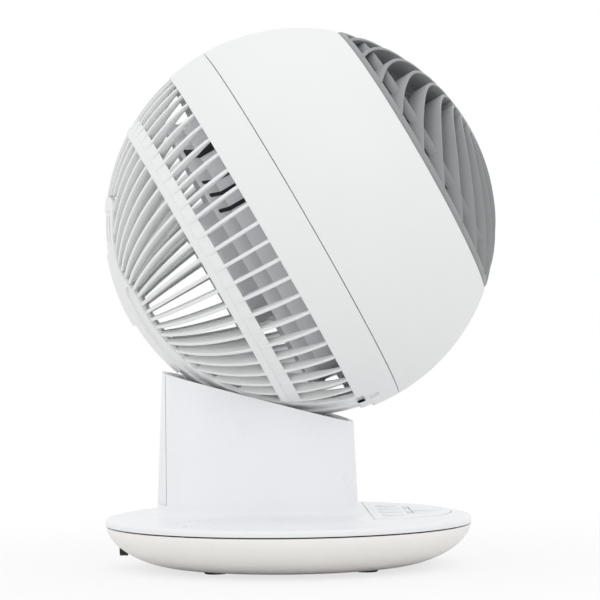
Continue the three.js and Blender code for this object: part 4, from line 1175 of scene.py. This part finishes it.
@dataclass
class ControlPanel:
    """The panel on the turntable with its lens and push buttons."""

    chord: float = 43.0
    arc_centre: float = 20.6
    arc_radius: float = 66.5
    thickness: float = 2.5
    top: float = 28.9
    gap: float = 0.5
    floor_gap: float = 0.35
    ledge: float = 2.9
    ledge_depth: float = 2.95
    ledge_top: float = 2.2
    proud: float = 0.4
    stem: float = 3.0
    stem_foot: float = 24.0
    stem_gap: float = 0.35
    hole_depth: float = 9.0
    power_radius: float = 8.0
    power_forward: float = 74.0
    small_radius: float = 5.5
    small_forward: float = 54.0
    small_pitch: float = 21.0
    button_gap: float = 0.3
    button_steps: int = 64
    cap_lift: float = 0.8
    cap_round: float = 0.7
    cap_fall: float = 0.6
    dish_depth: float = 0.28
    lens_length: float = 46.0
    lens_width: float = 3.0
    lens_forward: float = 64.2
    lens_gap: float = 0.25
    lens_sink: float = 0.05
    over: float = 2.0  # how far a cutter passes the panel's top

    def places(self) -> dict[str, tuple[float, float, float]]:
        """Gives each button's place and radius."""
        places = {"power_button": (0, -self.power_forward, self.power_radius)}
        for i, name in enumerate(("timer_button", "speed_button", "swing_button", "tilt_button")):
            places[name] = ((i - 1.5) * self.small_pitch, -self.small_forward, self.small_radius)
        return places

    def outline(self, grow: float) -> list[Pair]:
        """Gives the panel's outline, larger by an amount."""
        radius = self.arc_radius + grow
        reach = math.acos((self.chord - grow - self.arc_centre) / radius)
        return [(radius * math.sin(t), -self.arc_centre - radius * math.cos(t)) for t in spread(-reach, reach, 72)]

    def pocket(self) -> Object:
        """Builds the cutter of the panel's pocket."""
        floor = self.top - self.thickness - self.floor_gap
        return raised("panel_pocket", self.outline(self.gap), floor, self.top + self.over)

    def pad(self) -> Object:
        """Builds the thicker place under the panel."""
        floor = self.top - self.thickness - self.ledge_depth
        return raised("panel_pad", self.outline(self.ledge), floor, self.top - self.ledge_top)

    def holes(self) -> list[Object]:
        """Builds the cutters of the holes for the buttons' stems."""
        radius, floor = self.stem + self.stem_gap, self.top - self.hole_depth
        return [rod("stem_hole", radius, floor, self.top, (x, y), 32) for x, y, _ in self.places().values()]

    def lens_block(self, name: str, grow: float, bottom: float, top: float) -> Object:
        """Builds the lens's block, larger all round by an amount."""
        half, wide = self.lens_length / 2 + grow, self.lens_width / 2 + grow
        return block(name, (-half, -self.lens_forward - wide, bottom), (half, -self.lens_forward + wide, top))

    def build(self, shop: Workshop) -> None:
        """Builds and dresses the panel, the lens and the buttons."""
        foot, beyond = self.top - self.thickness, self.top + self.over
        panel = softened(raised("panel", self.outline(0), foot, self.top), 0.3)
        holes = [rod("hole", radius + self.button_gap, 0, beyond, (x, y), self.button_steps)
                 for x, y, radius in self.places().values()]
        combine(panel, Operation.CUT, *holes, self.lens_block("lens_slot", self.lens_gap, 0, beyond))
        smoothed(softened(panel, 0.15))
        shop.dress(panel, Body.TURNTABLE.value, "white_stand", "control_panel")
        lens = softened(self.lens_block("status_lens", 0, foot, self.top - self.lens_sink), 0.35, 3)
        shop.dress(smoothed(lens), Body.TURNTABLE.value, "lens", "indicator_lens")
        for name, (x, y, radius) in self.places().items():
            shop.dress(self.button(name, x, y, radius), f"{name}_body", "white_stand", name)

    def button(self, name: str, x: float, y: float, radius: float) -> Object:
        """Builds one push button with a softly dished top.

        Args:
            name: the button's packed name.
            x: its place across.
            y: its place along.
            radius: its cap's radius.

        Returns:
            The button.
        """
        foot, rim = self.top - self.thickness + self.cap_lift, self.top + self.proud
        dish = [(r, rim - self.dish_depth * (1 - (r / radius) ** 2)) for r in spread(radius - self.cap_round, 0, 8)]
        edge = [(radius - self.cap_round * (1 - math.sin(t)), rim - self.cap_fall * (1 - math.cos(t)))
                for t in spread(math.pi / 2, 0.3, 4)]
        stem = [(0, self.stem_foot), (self.stem, self.stem_foot), (self.stem, foot), (radius, foot)]
        cap = spun(f"{name}_cap", [*stem, *edge, *dish], self.button_steps)
        return smoothed(placed(cap, Matrix.Translation(Vector((x, y, 0)) * MM)), HEAD_CREASE)


@dataclass
class Base:
    """The bowl under the turntable and its rubber feet."""

    top: float = 22.4
    bottom: float = 1.3
    flat_radius: float = 62.0
    radius: float = 97.7
    fullness: float = 1.75
    edge_lift: float = 0.2
    crowding: float = 1.8
    wall: float = 2.5
    foot_radius: float = 6.0
    foot_circle: float = 56.0
    foot_height: float = 2.6
    foot_edge: tuple[Pair, ...] = ((0.6, 0.0), (0.1, 0.5), (0.0, 1.2))
    foot_gap: float = 0.35
    feet: int = 4
    hub_hole: float = 9.0

    def edge(self, height: float, inset: float) -> float:
        """Gives the bowl's radius at a height."""
        crest = self.top + self.edge_lift
        share = (crest - height) / (crest - self.bottom)
        reach = (1 - share ** self.fullness) ** (1 / self.fullness)
        return self.flat_radius + (self.radius - self.flat_radius) * reach - inset

    def build(self, shop: Workshop) -> None:
        """Builds and dresses the bowl and the feet."""
        heights = [self.bottom + (self.top - self.bottom) * t ** self.crowding for t in spread(0, 1, 28)]
        floor = self.bottom + self.wall
        inside = [(self.edge(z, self.wall), z) for z in reversed(heights) if z > floor + 1]
        profile = [(self.hub_hole, self.bottom), *[(self.edge(z, 0), z) for z in heights], *inside,
                   (self.edge(floor, self.wall), floor), (self.hub_hole, floor)]
        bowl = spun("base_shell", profile, ROUND_STEPS)
        turns = [2 * math.pi * (i + 0.5) / self.feet for i in range(self.feet)]
        places = [(self.foot_circle * math.cos(t), self.foot_circle * math.sin(t)) for t in turns]
        seats = [rod("foot_seat", self.foot_radius + self.foot_gap, 0, self.foot_height, at) for at in places]
        smoothed(softened(combine(bowl, Operation.CUT, *seats), 0.35, 2, BROAD_EDGE))
        shop.dress(bowl, Body.BASE.value, "warm_base", "base_bowl")
        edge = [(self.foot_radius - inset, height) for inset, height in self.foot_edge]
        profile = [(0, 0), *edge, (self.foot_radius, self.foot_height), (0, self.foot_height)]
        for i, place in enumerate(places):
            foot = placed(spun(f"foot_{i + 1}", profile, 48), Matrix.Translation(Vector((*place, 0)) * MM))
            shop.dress(smoothed(foot, HEAD_CREASE), Body.BASE.value, "foot_rubber", f"rubber_foot_{i + 1}")


@dataclass
class InnerWorks:
    """The pieces inside and under the covers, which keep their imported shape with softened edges."""

    edge: float = 0.25
    shown: tuple[str, ...] = ("duct_frame", "fan_motor", "motor_cover", "impeller", "impeller_nut", "tilt_cradle",
                              "cord_inlet", "turntable_plate")

    def build(self, shop: Workshop) -> None:
        """Refines the pieces that show and gives the others their finish."""
        record = shop.frame["record"]
        slots = {part["node"]: part["material_slot"] for part in record["subparts"]}
        homes = {node: body for body, nodes in record["behaviour"]["bodies"].items() for node in nodes}
        for name, node in shop.frame["nodes"].items():
            if node.hide_render:
                continue
            if name in self.shown:
                piece = smoothed(softened(cad_copy(node, f"{name}_body"), self.edge), HEAD_CREASE)
                shop.dress(piece, homes[name], slots[name], name)
                continue
            node.data.materials.clear()
            node.data.materials.append(shop.materials[slots[name]])
            LOG.info("%s keeps its packed shape", name)


# ---------------------------------------------------------------- studio


@dataclass
class Studio:
    """The pale floor, the soft lights and the camera.

    The lamps' places and sizes are in metres, each with its power in watts.
    """

    eye: Point = (-1495.5, 43.1, 143.5)
    look: Point = (0.99943, -0.0338, -0.0007)
    roll: float = -0.632
    lens: float = 167.13
    sky: float = 0.95
    aim: Point = (0.0, 0.0, 0.15)
    lamps: tuple[tuple[str, Point, float, float], ...] = (
        ("key", (-1.5, -1.1, 2.0), 1.6, 5.0),
        ("fill", (-1.4, 1.6, 1.2), 1.8, 2.5),
        ("top", (0.3, 0.2, 2.4), 2.0, 2.5),
    )

    def build(self) -> None:
        """Builds the whole studio."""
        self.camera()
        self.floor()
        self.lights()
        self.world()
        bpy.context.scene.view_settings.view_transform = "Standard"

    def camera(self) -> None:
        """Sets the camera at the photograph's place."""
        ahead = Vector(self.look).normalized()
        level = ahead.cross(Vector((0, 0, 1))).normalized()
        upright = level.cross(ahead)
        turn = math.radians(self.roll)
        right = level * math.cos(turn) + upright * math.sin(turn)
        data = bpy.data.cameras.new("camera")
        data.lens = self.lens
        data.sensor_width = 36
        data.clip_start = 0.05
        data.clip_end = 30
        camera = bpy.data.objects.new("camera", data)
        basis = Matrix((right, right.cross(ahead), -ahead)).transposed().to_4x4()
        camera.matrix_world = Matrix.Translation(Vector(self.eye) * MM) @ basis
        bpy.context.scene.collection.objects.link(camera)
        bpy.context.scene.camera = camera

    def floor(self) -> None:
        """Lays a wide pale floor, which fades to plain white for the camera away from the fan's shadow."""
        bpy.ops.mesh.primitive_plane_add(size=12, location=(0, 0, 0))
        floor = bpy.context.active_object
        floor.name = "floor"
        material = bpy.data.materials.new("floor_paper")
        material.use_nodes = True
        tree = material.node_tree
        shader = tree.nodes["Principled BSDF"]
        shader.inputs["Base Color"].default_value = (0.86, 0.86, 0.86, 1)
        shader.inputs["Roughness"].default_value = 0.9
        far = tree.nodes.new("ShaderNodeVectorMath")
        far.operation = "LENGTH"
        feed(tree, far.inputs[0], tree.nodes.new("ShaderNodeTexCoord").outputs["Object"])
        fade = tree.nodes.new("ShaderNodeMapRange")
        fade.interpolation_type = "SMOOTHSTEP"
        for label, value in {"From Min": 0.08, "From Max": 0.4, "To Min": 0.72, "To Max": 1.0}.items():
            fade.inputs[label].default_value = value
        feed(tree, fade.inputs["Value"], far.outputs["Value"])
        seen = tree.nodes.new("ShaderNodeLightPath").outputs["Is Camera Ray"]
        white = tree.nodes.new("ShaderNodeEmission")
        blend = tree.nodes.new("ShaderNodeMixShader")
        feed(tree, blend.inputs[0], maths(tree, "MULTIPLY", fade.outputs[0], seen))
        feed(tree, blend.inputs[1], shader.outputs[0])
        feed(tree, blend.inputs[2], white.outputs[0])
        feed(tree, tree.nodes["Material Output"].inputs["Surface"], blend.outputs[0])
        floor.data.materials.append(material)

    def lights(self) -> None:
        """Hangs the soft lights, turned to the fan."""
        for name, place, size, power in self.lamps:
            data = bpy.data.lights.new(name, "AREA")
            data.size = size
            data.energy = power
            light = bpy.data.objects.new(name, data)
            light.location = place
            light.rotation_euler = (Vector(self.aim) - Vector(place)).to_track_quat("-Z", "Y").to_euler()
            bpy.context.scene.collection.objects.link(light)

    def world(self) -> None:
        """Sets a pale sky, plain white where it is seen directly or in a reflection."""
        world = bpy.data.worlds.new("studio")
        bpy.context.scene.world = world
        world.use_nodes = True
        tree = world.node_tree
        path = tree.nodes.new("ShaderNodeLightPath").outputs
        glassy = maths(tree, "MAXIMUM", path["Is Glossy Ray"], path["Is Transmission Ray"])
        seen = maths(tree, "MAXIMUM", path["Is Camera Ray"], glassy)
        strength = maths(tree, "ADD", maths(tree, "MULTIPLY", seen, 1 - self.sky), self.sky)
        background = tree.nodes["Background"]
        background.inputs["Color"].default_value = (1, 1, 1, 1)
        feed(tree, background.inputs["Strength"], strength)


def main() -> None:
    """Builds the fan in order."""
    logging.basicConfig(level=logging.INFO, format="%(name)s %(message)s")
    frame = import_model()
    Studio().build()
    shop = Workshop(frame)
    ball = HeadFrame()
    FrontShell(ball).build(shop)
    RearShell(ball).build(shop)
    FrontGrille(ball).build(shop)
    panel = ControlPanel()
    Stand(ball).build(shop, panel.pocket(), panel.pad(), panel.holes())
    panel.build(shop)
    Base().build(shop)
    InnerWorks().build(shop)


if __name__ == "__main__":
    main()
